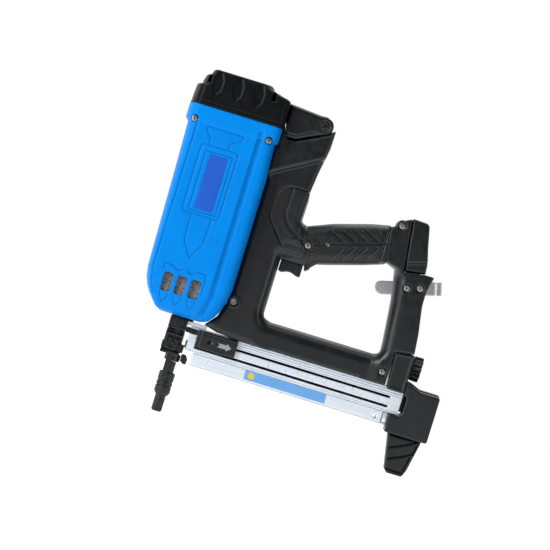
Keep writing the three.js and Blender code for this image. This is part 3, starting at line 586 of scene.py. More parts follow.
def front_cover():
    block = block_over("front_cover_left", 0.9, 1.5)
    body = levels_body(block, COVER_LEVELS)
    body = rounded(body, 117.2 - block.z, 5)
    collar = rounded(levels_body(block, COLLAR_LEVELS), 345.5 - block.z, 3)
    body = rounded(filleted(body, collar, 1.5), block.z - 365.5, 0.8)
    on_side = ramp(-block.y - 30, 8)
    behind = (block.x - np.interp(block.z, [122, 138, 150], [17, 22, 25])) * (block.z < 350)
    body = body + 1.4 * ramp(behind, 3) * on_side
    body = body + 3.0 * bump(block.plan(FOLD_LINE, closed=False), 9) * on_side
    inner = body + WALL
    body = body + 1.0 * bump(block.plan(CREASE_LINE, closed=False), 3.4)
    for line in COVER_LINES:
        body = body + 0.9 * bump(block.plan(line, closed=False), 2.3) * on_side
    for low, high in VENTS:
        middle = (low + high) / 2
        tip = [(middle - 5, 139), (middle - 4, 134), (middle, 128), (middle + 4, 134), (middle + 5, 139)]
        body = body + 0.9 * bump(block.plan(tip, closed=False), 2.3) * on_side
    left, right, low, high = LABEL
    recess = block.plan([(left, low), (right, low), (right, high), (left, high)])
    body = body + 0.6 * ramp(-recess, 0.8) * on_side
    body = cut(body, inner)
    for low, high in VENTS:
        corners = [(low, VENT_Z[0], 3), (high, VENT_Z[0], 3), (high, VENT_Z[1], 3), (low, VENT_Z[1], 3)]
        body = cut(body, plate(block, corners, (-60, -38), 0.5), 1.1)
    for x in COVER_SCREWS.values():
        body = cut(body, pin(block, "y", (x, COVER_SCREW_Z), 4.4, -60, -44.5), 0.7)
    return block, rounded(body, block.y + GAP / 2, 0.3)


def cover_pieces():
    block, body = front_cover()
    for side, mirror in (("left", False), ("right", True)):
        made = cast(f"cover_{side}", block, body, mirror, adaptivity=0.0005)
        finish_piece(made, "cover_blue", "housing", f"front_cover_{side}")
    left, right, low, high = [edge + inset for edge, inset in zip(LABEL, (0.5, -0.5, 0.5, -0.5))]
    corners = [(left, low, 1), (right, low, 1), (right, high, 1), (left, high, 1)]
    for side, name in ((-1, "left"), (1, "right")):
        faces = sorted((side * (COVER_HALF - 0.9), side * (COVER_HALF - 0.1)))
        finish_piece(slab(f"label_{name}", corners, *faces, 0.3), "label_blue", "housing")


# ---------- cap ----------
BAND_LEVELS = [(360, -69, -54, 47.6, 52), (388, -67, -53, 47.2, 51.4), (420, -67, -53, 47, 51)]
CROWN_LEVELS = [
    (380, -62.5, -51, 47.5, 50.8), (396, -61, -50, 47.5, 50.2), (399, -60, -49.5, 47, 49.8),
    (401, -59.5, -49, 43, 49.5), (402.5, -58.5, -48, 36, 49), (404.5, -54, -46, 30, 48.4),
    (406.5, -53, -46, 25, 47.6), (411, -52, -44, 21, 45.5),
]
FINGERS = (-41, -16.5, 9.5)


def cap_piece():
    block = block_over("cap", 0.9, 1.5)
    band = rounded(levels_body(block, BAND_LEVELS), block.z - 390, 2.2)
    crown = rounded(levels_body(block, CROWN_LEVELS), block.z - 410.7, 1.6)
    body = filleted(band, crown, 1.0)
    for low, high in ((-54, -50.5), (24.5, 29)):
        slot = brick(block, (low, high), (-70, -24), (393, 420), 1)
        slot = np.minimum(slot, brick(block, (low, high), (24, 70), (393, 420), 1))
        body = cut(body, slot, 0.8)
    body = rounded(body, 365.8 - block.z, 1)
    inner = body + WALL
    on_side = ramp(np.abs(block.y) - 30, 8)
    for x in FINGERS:
        scoop = outline([
            (x - 6.5, 399, 6), (x - 6, 386, 4), (x, 378.5), (x + 6, 386, 4), (x + 6.5, 399, 6),
            (x + 2, 409, 3), (x - 2, 409, 3),
        ])
        body = body + 0.9 * ramp(-block.plan(scoop), 2.0) * on_side
    body = body + 0.8 * bump(block.z - 370, 2.0)
    body = cut(body, inner)
    finish_piece(cast("cap_shell", block, body), "cap_black_painted_shade", "housing", "cap")


# ---------- housing ----------
COMPARTMENT = [
    (46.4, 222), (46.4, 303.5), (43.4, 305.5), (43.4, 344.6), (46.4, 345.3), (46.4, 357.5), (65, 357.5, 3),
    (90, 370, 4), (95, 372.7, 3), (101.5, 375.4, 3), (105.3, 380, 2), (108.5, 382), (108, 360, 6),
    (103, 327, 30), (99, 290, 30), (98, 268, 6), (103, 262, 3), (110, 222),
]
SHOULDER = ((43, 308), (97, 340))
GRIP = [
    (80, 300), (98, 300), (98, 267, 5), (102, 263.5, 3), (109, 263.5, 5), (138, 275.5, 60), (183, 289, 80),
    (208, 294.5, 6), (225, 300), (230, 262), (224, 250, 2), (213, 250, 5), (184, 240, 40), (144, 228, 30),
    (131, 224.5, 10), (124, 219.5), (80, 219.5),
]
TRIGGER_SILL = [(80, 218.1), (120, 218.1), (126, 224), (132, 234), (80, 234)]
TRIGGER_STOP = [(118.4, 226), (119.4, 216), (120.6, 212.3, 1), (123.4, 212.3, 1), (126, 219, 4), (133, 226)]
TOWER = [
    (204, 292.5), (208, 294.5, 3), (214, 300, 3), (220, 306, 5), (226.8, 309.3, 1.5), (234.6, 245),
    (216, 245), (204, 250),
]
POST = [
    (222, 252), (224, 246, 3), (231, 206, 60), (235.6, 160, 30), (237, 141.7, 9), (222, 141.7), (222, 110),
    (253, 110), (253, 151.8), (276, 155, 1), (273.5, 180, 40), (268, 212, 50), (267.6, 230, 20),
    (272, 250, 1.5), (261, 250), (234.7, 246),
]
COLUMN = [
    (25.5, 116.2), (42, 111.5, 6), (64, 110, 12), (108, 110), (108, 141.7), (89.8, 141.7, 12), (89.8, 240),
    (46.4, 240), (46.4, 165, 10), (44.3, 151, 10), (37.4, 130.5, 10),
]
WINDOW = [  # the hand opening; its edge is rolled all the way round
    (89.8, 141.7, 12), (237, 141.7, 9), (235.6, 160, 30), (231, 206, 60), (224, 246, 3), (213, 250, 5),
    (184, 240, 40), (144, 228, 30), (131, 224.5, 10), (124, 219.5), (89.8, 219.5),
]
BRIDGE = [(60, 110), (250, 110), (250, 141.7), (60, 141.7)]
CELL_ROOM = [
    (50, 236), (50, 390), (86, 390), (86, 364), (103, 364, 4), (99.5, 327), (95.5, 290), (94.5, 244),
    (90, 236),
]
POST_ROOM = [
    (240.5, 118), (249.5, 118), (249.5, 156), (271, 158.5), (269.5, 180), (264.5, 212, 40), (264, 230, 10),
    (266, 246.3), (257.5, 246.3), (257.5, 260), (237.3, 260), (239.5, 220), (240.5, 160),
]


def housing_skin(block):
    """The outside of the housing, without its screws and openings."""
    compartment = block.plan(outline(COMPARTMENT))
    (x0, z0), (x1, z1) = SHOULDER
    slope = math.hypot(x1 - x0, z1 - z0)
    below = ((block.x - x0) * (z1 - z0) - (block.z - z0) * (x1 - x0)) / slope
    across = np.abs(block.y)
    upper = rounded(rounded(compartment, below, 3), across - CELL_HALF, 5)
    lower = rounded(compartment, across - COLUMN_HALF, 6)
    skin = filleted(lower, upper, 1.5)
    skin = np.minimum(skin, plate(block, COLUMN, COLUMN_HALF, 6))
    skin = filleted(skin, plate(block, GRIP, GRIP_HALF, 12), 8)
    skin = filleted(skin, plate(block, BRIDGE, BRIDGE_HALF, 3), 4)
    skin = filleted(skin, plate(block, POST, POST_HALF, 2), 3)
    skin = np.minimum(skin, plate(block, TOWER, POST_HALF, 2.5))
    half = np.interp(block.x, [84, 104, 228, 240], [COLUMN_HALF, BRIDGE_HALF, BRIDGE_HALF, POST_HALF])
    half = half + 15 * ramp(block.z - 236, 24)
    skin = np.maximum(skin, rounded(-block.plan(outline(WINDOW)), across - half, 15))
    filler = plate(block, [(47.4, 350), (47.4, 371), (60, 371), (60, 350)], CELL_HALF, 2)
    skin = np.minimum(skin, np.maximum(filler, DOOR_SWING + 0.4 - from_door_pin(block)))
    skin = filleted(skin, plate(block, TRIGGER_SILL, GRIP_HALF - 4, 1.2), 2)
    skin = np.minimum(skin, plate(block, TRIGGER_STOP, GRIP_HALF - 6, 2))
    boss_x, boss_z, head, half = SHELL_SCREWS["shell_screw_tower"]
    return filleted(skin, pin(block, "y", (boss_x, boss_z), head + 3.2, -half + 1, half - 1, 2), 1)


def from_door_pin(block):
    return np.hypot(block.x - DOOR_PIN[0], block.z - DOOR_PIN[1])


def screw_holes(block, body):
    """Sunk seats for the screws that hold the two shells together."""
    for x, z, head, half in SHELL_SCREWS.values():
        body = cut(body, pin(block, "y", (x, z), head + 0.5, -80, -half + 4), 0.6)
    for along in (-HOOK_SCREW_STEP, HOOK_SCREW_STEP):
        body = cut(body, pin(block, "y", hook_point(along), 4.4, -80, -POST_HALF + 2.2), 0.6)
    return body


def hook_point(along):
    """x and z of a point on the belt hook's centre line."""
    return HOOK_MIDDLE[0] + along * math.cos(HOOK_TILT), HOOK_MIDDLE[1] + along * math.sin(HOOK_TILT)


def housing_shells():
    block = block_over("housing_left", 1.0, 1.5)
    skin = housing_skin(block)
    body = skin + 0.7 * bump(block.plan([(80, 303.6), (102, 303.2)], closed=False), 2.4)
    body = body + 0.9 * bump(block.plan(outline(PAD_REGION)), 3.0)
    rooms = plate(block, CELL_ROOM, COLUMN_HALF - WALL, 1)
    rooms = np.minimum(rooms, plate(block, POST_ROOM, POST_HALF - WALL, 1))
    bay = (block.z > 243) & (block.x > 236) & (block.x < 258)
    wall = np.where((block.z > 352) | bay, -WALL, skin + WALL * 0.8)
    room = np.minimum(skin + WALL, np.maximum(rooms, wall))
    for x, z, head, half in SHELL_SCREWS.values():
        room = cut(room, pin(block, "y", (x, z), head + 2, -half, 0))
    for along in (-HOOK_SCREW_STEP, HOOK_SCREW_STEP):
        room = cut(room, pin(block, "y", hook_point(along), 5.8, -POST_HALF, -POST_HALF + 5.5))
    body = cut(body, room, 0.3)
    x, z, head, half = SHELL_SCREWS["shell_screw_column"]
    body = body - 0.7 * bump(np.hypot(block.x - x, block.z - z) - head - 2.4, 2.6) * (block.y < -20)
    pin_x, pin_z = DOOR_PIN
    lug = [(pin_x - 6.5, pin_z + 1, 5), (pin_x - 6.5, 362), (pin_x + 10, 362), (pin_x + 6.5, pin_z + 6, 6)]
    body = np.minimum(body, plate(block, lug, (-18, -12), 0.6))
    body = cut(body, pin(block, "y", DOOR_PIN, 3.3, -80, 80), 0.3)
    body = cut(body, brick(block, (90, 118.3), (-8.6, 8.6), (200, 226.5)), 0.8)
    body = rounded(body, block.y + GAP / 4, 0.3)
    right = cast("housing_right_shell", block, body, mirror=True)
    finish_piece(right, "housing_black", "housing", "housing_right")
    body = screw_holes(block, body)
    left = cast("housing_left_shell", block, body)
    finish_piece(left, "housing_black", "housing", "housing_left")


# ---------- grip ----------
PAD_REGION = [
    (100, 303.2), (75, 303.2, 3), (67, 298, 4), (63, 290, 4), (62, 267, 3), (64, 261, 3), (91, 228, 3),
    (119, 228, 2), (124, 214), (200, 232), (211.5, 250), (206.5, 272, 60), (204, 300), (160, 300),
    (103, 290),
]
CHANNEL = [(79, 303), (78.5, 272), (82, 264), (88, 257), (99, 249), (112, 244)]
GRIP_PIN = (138.5, 250.5)
CENTRE_GROOVE = [(120, 244.5), GRIP_PIN, (170, 261), (208, 272)]
DOTTED = [(84, 233), (92, 231), (132, 231), (132, 246), (120, 241), (98, 246), (86, 252)]
DOT_PITCH = 4
GRIP_ANGLE = math.atan2(21.5, 69.5)
RIB_PITCH = 14
PAD_THICKNESS = 1.1


def grip_pads():
    block = Block((60, -30, 210), (214, 0, 306), 0.6)
    skin = housing_skin(block)
    pad = rounded(skin - PAD_THICKNESS, block.plan(outline(PAD_REGION)), 0.9)
    along, across = slanted(block, GRIP_PIN, GRIP_ANGLE)
    across = np.abs(across)
    phase = (along + 0.55 * across ** 1.25) / RIB_PITCH
    rib = bump(phase - np.floor(phase) - 0.5, 0.45)
    ribbed = ramp(along - 2, 5) * ramp(66 - along, 5) * ramp(across - 3, 2) * ramp(19 - across, 3)
    pad = pad + 1.1 * rib * ribbed
    pad = pad + 0.8 * bump(block.plan(CENTRE_GROOVE, closed=False), 2.2)
    pad = pad + 1.3 * bump(block.plan(CHANNEL, closed=False), 5)
    dot_x, dot_z = [np.abs((value / DOT_PITCH) % 1 - 0.5) * DOT_PITCH for value in (block.x, block.z)]
    pad = pad + 0.7 * bump(np.hypot(dot_x, dot_z), 2.4) * ramp(-block.plan(DOTTED), 1.5)
    pad = cut(pad, skin - 0.05)
    pad = cut(pad, brick(block, (89, 119), (-9, 9), (200, 228)))
    pad = rounded(pad, block.y + GAP / 4, 0.2)
    right = cast("grip_pad_right_skin", block, pad, mirror=True)
    finish_piece(right, "grip_rubber", "housing", "grip_pad_right")
    x, z, head, _ = SHELL_SCREWS["shell_screw_grip"]
    pad = cut(pad, pin(block, "y", (x, z), head + 0.8, -60, 0), 0.5)
    pad = cut(pad, pin(block, "y", GRIP_PIN, 2.6, -60, 0), 0.3)
    left = cast("grip_pad_left_skin", block, pad)
    finish_piece(left, "grip_rubber", "housing", "grip_pad_left")


# ---------- fuel door, trigger and battery ----------
DOOR_LID = [(47.5, 398.3, 1), (94, 394.5), (94, 372.8), (90, 370.6, 4), (65, 358.1, 3), (47.5, 358.1)]
TRIGGER = [
    (90.6, 218.9, 1.2), (90.6, 204, 1.5), (95, 203, 2), (104, 206.5, 12), (114, 203, 3), (118, 203, 1.5),
    (117.8, 218.9, 1.2),
]
BATTERY_HEAD = [
    (227.4, 310.4, 1.5), (246, 309.5, 4), (249, 306, 3), (255, 280, 60), (260, 262, 12), (261, 250.4, 1),
    (235.2, 246.5, 0.5),
]
BATTERY_STEM = [(239.4, 252), (247.2, 188), (261.7, 188), (253.9, 252)]


def fuel_door():
    block = block_over("fuel_door", 0.8, 1.5)
    body = filleted(plate(block, DOOR_LID, CELL_HALF, 5), pin(block, "y", DOOR_PIN, 10.7, -29, 29, 2.5), 3)
    round_pin = from_door_pin(block)
    body = np.maximum(body, np.where(block.z < DOOR_PIN[1], round_pin - DOOR_SWING, -99))
    on_side = ramp(np.abs(block.y) - 22, 4)
    body = body + 0.8 * bump(round_pin - 6.2, 2.0) * on_side
    body = body + 0.6 * bump(block.plan([(52, 363), (64, 363), (84, 374)], closed=False), 2.2) * on_side
    room = [(51.4, 340), (51.4, 394.6, 3), (84, 391, 3), (84, 340)]
    body = cut(body, plate(block, room, CELL_HALF - WALL, 2), 0.4)
    bar = [(0.01, -30), (2.6, -30), (2.9, -29.6), (2.9, 29.6), (2.6, 30), (0.01, 30)]
    finish_piece(turned("door_pin_bar", bar, "y", DOOR_PIN, 32), "dark_steel", "housing", "door_pin")
    for low, high in ((-18.6, -11.4), (11.4, 18.6)):
        body = cut(body, brick(block, (74, 114), (low, high), (360, 391.4)), 0.3)
    body = cut(body, pin(block, "y", DOOR_PIN, 3.3, -80, 80), 0.4)
    finish_piece(cast("fuel_door_lid", block, body), "housing_black", "fuel_door", "fuel_door")


def trigger_piece():
    block = block_over("trigger", 0.45)
    body = plate(block, TRIGGER, 8.2, 1.8)
    body = np.minimum(body, brick(block, (97, 112), (-7, 7), (217, 222.5), 0.6))
    finish_piece(cast("trigger_lever", block, body), "housing_black", "trigger", "trigger")


def battery_piece():
    block = block_over("battery_pack", 0.8)
    head = plate(block, BATTERY_HEAD, BLOCK_HALF, 3)
    crease = block.plan([(230, 257), (236.5, 258), (259, 264.5), (266, 265)], closed=False)
    below = ramp(258 + (block.x - 236.5) * 0.29 - block.z, 3)
    head = head + (0.9 * bump(crease, 2.6) + 0.8 * below) * ramp(np.abs(block.y) - 14, 3)
    body = filleted(head, plate(block, BATTERY_STEM, 16, 1.5), 1.5)
    finish_piece(cast("battery_shell", block, body), "housing_black", "battery", "battery_pack")


# ---------- magazine ----------
def magazine_pieces():
    block = block_over("magazine_rail", (2.5, 0.34, 0.34))
    side = MAGAZINE_HALF - np.abs(block.y)
    body = brick(block, (12, 277.5), (-15, 15), (80, 109.7), 0.5)
    for z, width, depth in ((107.6, 1.1, 1), (104.6, 1.1, 1), (101.8, 1.1, 1), (82.6, 1.0, 0.9)):
        body = cut(body, rounded(between(block.z, z - width / 2, z + width / 2), side - depth, 0.1), 0.25)
    body = np.maximum(body, -1.6 + 0.085 * (block.z - 92.7) ** 2 - side - 40 * (np.abs(block.z - 92.7) > 4.6))
    for low, high in ((96.9, 99.7), (85.3, 88.1)):
        body = cut(body, brick(block, (22, 264), (-16, -10), (low, high), 0.3), 0.35)
    body = cut(body, brick(block, (0, 300), (-10.5, 10.5), (83, 106.5)))
    finish_piece(flat_faces(cast("magazine_extrusion", block, body)), "aluminium", "housing", "magazine_rail")

    # A dark sheet on the channel's far inner wall, seen through the slots: painted shade.
    shade_sheet = slab("magazine_shade_sheet", [(14, 84), (286, 84), (286, 106), (14, 106)], 9.9, 10.4, 0.1)
    finish_piece(shade_sheet, "dark_steel", "housing")
    for side, name in ((-1, "left"), (1, "right")):
        faces = sorted((side * 12.7, side * 16.3))
        link = [(6.4, 101.5, 1), (21, 101.5, 1), (21, 107.5, 1), (6.4, 107.5, 1)]
        finish_piece(slab(f"feed_link_{name}", link, *faces, 0.5), "dark_steel", "housing")
        tongue = [(10.3, 83, 1), (11.7, 83), (11.7, 92), (10.3, 92, 1)]
        finish_piece(slab(f"feed_tongue_{name}", tongue, *faces, 0.3), "dark_steel", "housing")

    block = block_over("magazine_track", (1.6, 0.4, 0.4))
    body = brick(block, (21.5, 261), (-14, 14), (64, 79.7), 0.6)
    body = body + 0.4 * bump(block.z - 65.8, 1.4)
    body = cut(body, brick(block, (0, 300), (-9, 9), (67, 77)))
    body = cut(body, pin(block, "y", (252, 71), 2, -20, 20), 0.4)
    finish_piece(flat_faces(cast("magazine_channel", block, body)), "aluminium", "housing", "magazine_track")

    sticker = [(89, 67.6, 0.8), (190, 67.6, 0.8), (190, 79, 0.8), (89, 79, 0.8)]
    finish_piece(slab("magazine_label", sticker, -14.2, -13.95, 0.05), "label_pale", "housing")
    mark = [(93, 69.4, 3), (101, 69.4, 3), (101, 77.2, 3), (93, 77.2, 3)]
    finish_piece(slab("magazine_label_mark", mark, -14.3, -14.15, 0.05), "label_yellow", "housing")


def pusher_piece():
    block = block_over("pusher", (0.6, 0.45, 0.45))
    face = [(21.5, 87.5, 1), (71, 87.5, 1.5), (71, 108.5, 1.5), (21.5, 108.5, 1)]
    body = plate(block, face, (-21, -MAGAZINE_HALF - GAP), 1.2)
    body = body + 0.6 * bump(block.plan([(26, 88), (26, 108)], closed=False), 1.6)
    body = body + 0.5 * bump(block.plan([(24, 105.2), (70, 105.2)], closed=False), 1.6)
    body = np.minimum(body, brick(block, (30, 60), (-16, -8), (97.4, 99.1)))
    body = np.minimum(body, brick(block, (27, 62), (-9.6, 9.6), (86, 104), 0.6))
    body = cut(body, pin(block, "y", (38.5, 99), 2.4, -30, -17), 0.5)
    body = cut(body, pin(block, "y", (38.5, 99), 3.6, -30, -20.4), 0.3)
    finish_piece(cast("pusher_block", block, body), "housing_black", "pusher", "pusher")
    arrow = [
        (48, 95), (59, 95), (59, 92.9), (65, 97.5), (59, 102.1), (59, 100), (48, 100), (50.5, 97.5),
    ]
    finish_piece(slab("pusher_arrow", arrow, -21.15, -20.9, 0.05), "arrow_print", "pusher")


# ---------- rear end ----------
BLOCK = [
    (267.6, 57, 2), (267.6, 79.3, 1), (279, 79.3), (282.5, 84, 2), (282.5, 103, 2), (279, 105.5),
    (278, 108), (278, 123, 1), (285, 119, 8), (296, 114.5, 6), (321, 114.5, 3), (321, 57, 3),
]
FOOT = [(273, 56.7, 1), (281, 15, 3), (285, 10.5, 2), (304, 10.5, 3), (308, 20, 8), (315, 56.7, 1)]
FOOT_LINES = [
    [(280, 41), (292, 46), (309, 55.5)],
    [(283, 28), (295, 33), (309, 41), (311, 52)],
    [(283, 15), (303, 15), (307, 36)],
]
BRACKET = [(253.4, 151.5, 1), (256, 107, 1), (277.6, 107, 1), (277.2, 154.6, 2)]


def rear_blocks():
    block = block_over("rear_block_left", 0.8)
    body = plate(block, BLOCK, (-BLOCK_HALF, -GAP / 2), 1.8)
    body = cut(body, pin(block, "y", (301, 92), 14, -10, 10))
    finish_piece(cast("rear_block_left_shell", block, body), "housing_black", "housing", "rear_block_left")
    block = block_over("rear_block_right", 0.8, 2.5)
    corners = [(x, z + (2 if z > 110 and x > 281 else 0), *r) for x, z, *r in BLOCK]
    body = plate(block, corners, (GAP / 2, BLOCK_HALF), 2.2)
    body = cut(body, pin(block, "y", (301, 92), 14, -10, 10))
    finish_piece(cast("rear_block_right_cast", block, body), "cast_brown", "housing", "rear_block_right")


def foot_piece():
    block = block_over("foot", 0.7)
    body = plate(block, FOOT, 16, 3)
    for line in FOOT_LINES:
        body = body + 2.4 * bump(block.plan(line, closed=False), 3.2) * ramp(np.abs(block.y) - 9, 3)
    finish_piece(cast("foot_spur", block, body), "housing_black", "housing", "foot")


def clamp_pieces():
    block = block_over("clamp_bracket", 0.7)
    flat = block.plan(outline(BRACKET))
    body = rounded(flat, np.abs(block.y) - 23, 2)
    body = body + 0.9 * ramp(-flat - 2.6, 1.2) * ramp(np.abs(block.y) - 15, 4)
    body = cut(body, brick(block, (240, 290), (-15.4, 15.4), (100, 110.2)))
    body = cut(body, pin(block, "x", (0, KNOB_Z), 3.3, 250, 290))
    finish_piece(cast("clamp_jaw", block, body), "housing_black", "housing", "clamp_bracket")

    block = block_over("knob", 0.5)
    round_x = np.hypot(block.y, block.z - KNOB_Z)
    lobes = 13.0 + 2.1 * np.cos(8 * np.arctan2(block.z - KNOB_Z, block.y))
    body = rounded((round_x - lobes) * 0.8, between(block.x, 278.4, 290), 1.6)
    body = body + 1.0 * ramp(9 - round_x, 2) * (block.x > 284) + 0.5 * bump(block.x - 281.5, 1.8)
    body = np.minimum(body, pin(block, "x", (0, KNOB_Z), 3, 257, 280, 0.4))
    finish_piece(cast("knob_head", block, body), "housing_black", "knob", "knob")

    block = block_over("magazine_end", 0.4)
    body = brick(block, (261.3, 267.2), (-13, 13), (63.5, 79.5), 0.8)
    body = cut(body, pin(block, "y", (264.2, 69), 2.1, -20, 20), 0.5)
    finish_piece(cast("magazine_end_stop", block, body), "steel", "housing", "magazine_end")


# ---------- nose ----------
STRAP = (-6.5 - GAP, 0 + GAP)


def strap_slots(block, body):
    """Lets the probe's two straps pass through a nose part."""
    for low, high in ((-15.7, -12.6), (12.6, 15.7)):
        body = cut(body, brick(block, STRAP, (low, high), (40, 125)), 0.2)
    return body


def nose_pieces():
    block = block_over("nose_housing", 0.6)
    body = brick(block, (-15.5, 6), (-18, 18), (101, 116.7), 1.2)
    body = filleted(body, pin(block, "z", (0, 0), 12, 112, 152), 2)
    body = filleted(body, pin(block, "z", (0, 0), 31, 148, 153, 0.8), 2)
    body = cut(body, brick(block, (-12.5, -9.5), (-30, -16.5), (100, 120), 0.3), 0.3)
    body = cut(strap_slots(block, body), pin(block, "z", (0, 0), BLADE_BORE, 50, 200), 0.3)
    finish_piece(cast("nose_casting", block, body), "dark_steel", "housing", "nose_housing")

    block = block_over("nose_block", 0.4)
    body = brick(block, (-11, 6), (-12.4, 12.4), (75, 100.7), 0.8)
    body = filleted(body, brick(block, (-17, 10), (-12.4, 12.4), (75, 85), 1), 1)
    body = filleted(body, brick(block, (-15.5, -10.5), (-16, 16), (84, 100.7), 0.8), 0.6)
    body = cut(body, pin(block, "y", (-13, 95), 1.6, -30, -12), 0.4)
    body = cut(body, brick(block, (2, 20), (-2.4, 2.4), (77, 99)), 0.3)
    body = cut(body, pin(block, "z", (0, 0), BLADE_BORE, 50, 200), 0.3)
    finish_piece(cast("nose_guide", block, body), "dark_steel", "housing", "nose_block")

    block = block_over("nose_plate", 0.4)
    body = brick(block, (-16.5, 7), (-20, 20), (70.5, 74.7), 1)
    body = filleted(body, pin(block, "z", (0, 0), 9.4, 63, 72, 0.8), 1)
    body = cut(strap_slots(block, body), pin(block, "z", (0, 0), 7.1, 50, 80), 0.4)
    finish_piece(cast("nose_lower_plate", block, body), "dark_steel", "housing", "nose_plate")

    for side, mirror in (("left", False), ("right", True)):
        block = block_over("strap_guide_left", 0.35)
        body = brick(block, (-10.2, 2.3), (-20, -12.7), (76, 90.7), 1.2)
        body = cut(body, pin(block, "y", GUIDE_SCREW, 4.8, -30, -18), 0.5)
        body = strap_slots(block, body)
        made = cast(f"strap_cover_{side}", block, body, mirror)
        finish_piece(made, "dark_steel", "housing", f"strap_guide_{side}")

    block = block_over("nose_latch", 0.35)
    latch = [(9.8, 74.4, 1), (9.8, 66, 1), (14, 63, 1.5), (18, 63, 1.5), (18, 70, 2), (15, 74.4, 2)]
    body = plate(block, latch, 6, 0.7)
    finish_piece(cast("latch_tab", block, body), "dark_steel", "nose_latch", "nose_latch")

    bar = [(0.01, -15.5), (1.8, -15.5), (2.3, -15), (2.3, 5.5), (1.8, 6), (0.01, 6)]
    for side, name in ((-1, "left"), (1, "right")):
        rod = turned(f"guide_rod_{name}", bar, "x", (side * 18.2, 95), 32)
        finish_piece(rod, "dark_steel", "housing")


def probe_pieces():
    tube = [
        (4.2, 0), (5.35, 0), (6.75, 2), (6.75, 16), (6.5, 16.5), (6.5, 17.5), (6.75, 18), (6.75, 62.4),
        (4.2, 62.4),
    ]
    finish_piece(turned("probe_barrel", tube), "dark_steel", "probe", "probe_tube")
    sleeve = [
        (7.05, 20.5), (8, 20.5), (10, 24), (10, 30.5), (9.2, 31), (9.2, 32), (10, 32.5), (10, 36),
        (9.2, 36.5), (9.2, 37.5), (10, 38), (10, 47.5), (8.8, 49), (7.05, 49),
    ]
    finish_piece(turned("probe_collar", sleeve), "dark_steel", "probe", "probe_sleeve")


def probe_linkage():
    """Two straps that carry the probe's push past the nose up to the combustion chamber."""
    block = block_over("probe_linkage", 0.6)
    across = np.abs(block.y)
    strap = rounded(between(block.x, -6.5, 0), between(across, 12.9, 15.4), 0.5)
    body = rounded(strap, between(block.z, 41, 135), 0.3)
    upper = rounded(between(block.x, -8, 8), between(across, 34.3, 37.3), 0.5)
    body = np.minimum(body, rounded(upper, between(block.z, 131, 261.7), 0.5))
    body = np.minimum(body, brick(block, (-16, 16), (-37.3, 37.3), (131, 135), 0.6))
    lug = rounded(between(block.x, -6.5, 0), between(across, 10.3, 15.4), 0.5)
    body = np.minimum(body, rounded(lug, between(block.z, 41, 45), 0.5))
    top_ring = np.abs(np.hypot(block.x, block.y) - 33.9) - 3.3
    body = np.minimum(body, rounded(top_ring, between(block.z, 190, 194), 0.4))
    body = cut(body, pin(block, "z", (0, 0), 12.4, 120, 140), 0.3)
    finish_piece(cast("probe_straps", block, body), "dark_steel", "probe", "probe_linkage")


# ---------- belt hook and screws ----------
def belt_hook():
    block = block_over("belt_hook", 0.55)
    along, across = slanted(block, HOOK_MIDDLE, HOOK_TILT)
    near = POST_HALF + GAP + HOOK_THICK / 2
    far = POST_HALF + GAP + HOOK_REACH - HOOK_THICK / 2
    middle, radius = (near + far) / 2, (far - near) / 2
    bend = [
        (HOOK_BEND + radius * math.sin(angle), middle - radius * math.cos(angle))
        for angle in np.linspace(0, math.pi, 13)
    ]
    path = [(-14, near), *bend, (-44, far)]
    ribbon = line_distance(along, block.y, path, closed=False) - HOOK_THICK / 2
    ends = line_distance(along, across, outline([(-44, -8.5, 8.4), (40, -8.5), (40, 8.5), (-44, 8.5, 8.4)]))
    body = rounded(ribbon, ends, 0.7)
    hole = np.hypot(along - HOOK_HOLE, across) - 2.5
    body = cut(body, np.maximum(hole, 40 - block.y), 0.4)
    finish_piece(cast("belt_hook_strip", block, body), "steel", "housing", "belt_hook")


def screw(name, place, face, radius, drive, material="zinc", node=None, side=-1):
    """A screw head that looks out along -Y, or +Y for side 1; face is its outer end."""
    x, z = place
    block = Block((x - radius, face, z - radius), (x + radius, face + 2.6, z + radius), 0.22)
    round_y = np.hypot(block.x - x, block.z - z)
    body = pin(block, "y", place, radius, face, face + 2.4, 0.6)
    body = np.maximum(body, face + 0.05 * round_y ** 2 * (3.6 / radius) ** 2 - block.y)
    if drive == "hex":
        body = body + 0.9 * bump(round_y - 0.74 * radius, 0.16 * radius)
    if drive == "cross":
        for wide, tall in ((0.17 * radius, 0.66 * radius), (0.66 * radius, 0.17 * radius)):
            arm = brick(block, (x - wide, x + wide), (face - 1, face + 1.5), (z - tall, z + tall), 0.15)
            body = cut(body, arm, 0.15)
    else:
        reach = 0.52 * radius
        angles = np.arange(6) * math.pi / 3
        hexagon = [(x + reach * math.cos(angle), z + reach * math.sin(angle)) for angle in angles]
        body = cut(body, np.maximum(block.plan(hexagon), block.y - face - 1.9), 0.15)
    made = cast(name, block, body, mirror=side > 0)
    finish_piece(made, material, "housing", *([node] if node else []))


def screws():
    for node, (x, z, head, half) in SHELL_SCREWS.items():
        drive = "hex" if node == "shell_screw_column" else "cross"
        screw(f"{node}_head", (x, z), -half + 0.9, head, drive, "zinc", node)
    screw("grip_pin", GRIP_PIN, -GRIP_HALF - 0.9, 2.2, "hex")
    for name, along in (("front", -HOOK_SCREW_STEP), ("rear", HOOK_SCREW_STEP)):
        screw(f"hook_plug_{name}", hook_point(along), -POST_HALF - 0.6, 3.7, "cross", "zinc")
        node = f"hook_screw_{name}"
        screw(f"{node}_head", hook_point(along), -POST_HALF - 5.4, 3.6, "cross", "steel", node, side=1)
    for name, x in COVER_SCREWS.items():
        node, place, face = f"cover_screw_{name}", (x, COVER_SCREW_Z), -COVER_HALF + 1.4
        screw(f"{node}_head", place, face, 3.7, "cross", "zinc", node)
        screw(f"{node}_head_right", place, face, 3.7, "cross", "zinc", side=1)
    for side, name in ((-1, "left"), (1, "right")):
        screw(f"nose_screw_{name}", GUIDE_SCREW, -20.4, 4.4, "hex", "dark_steel", side=side)


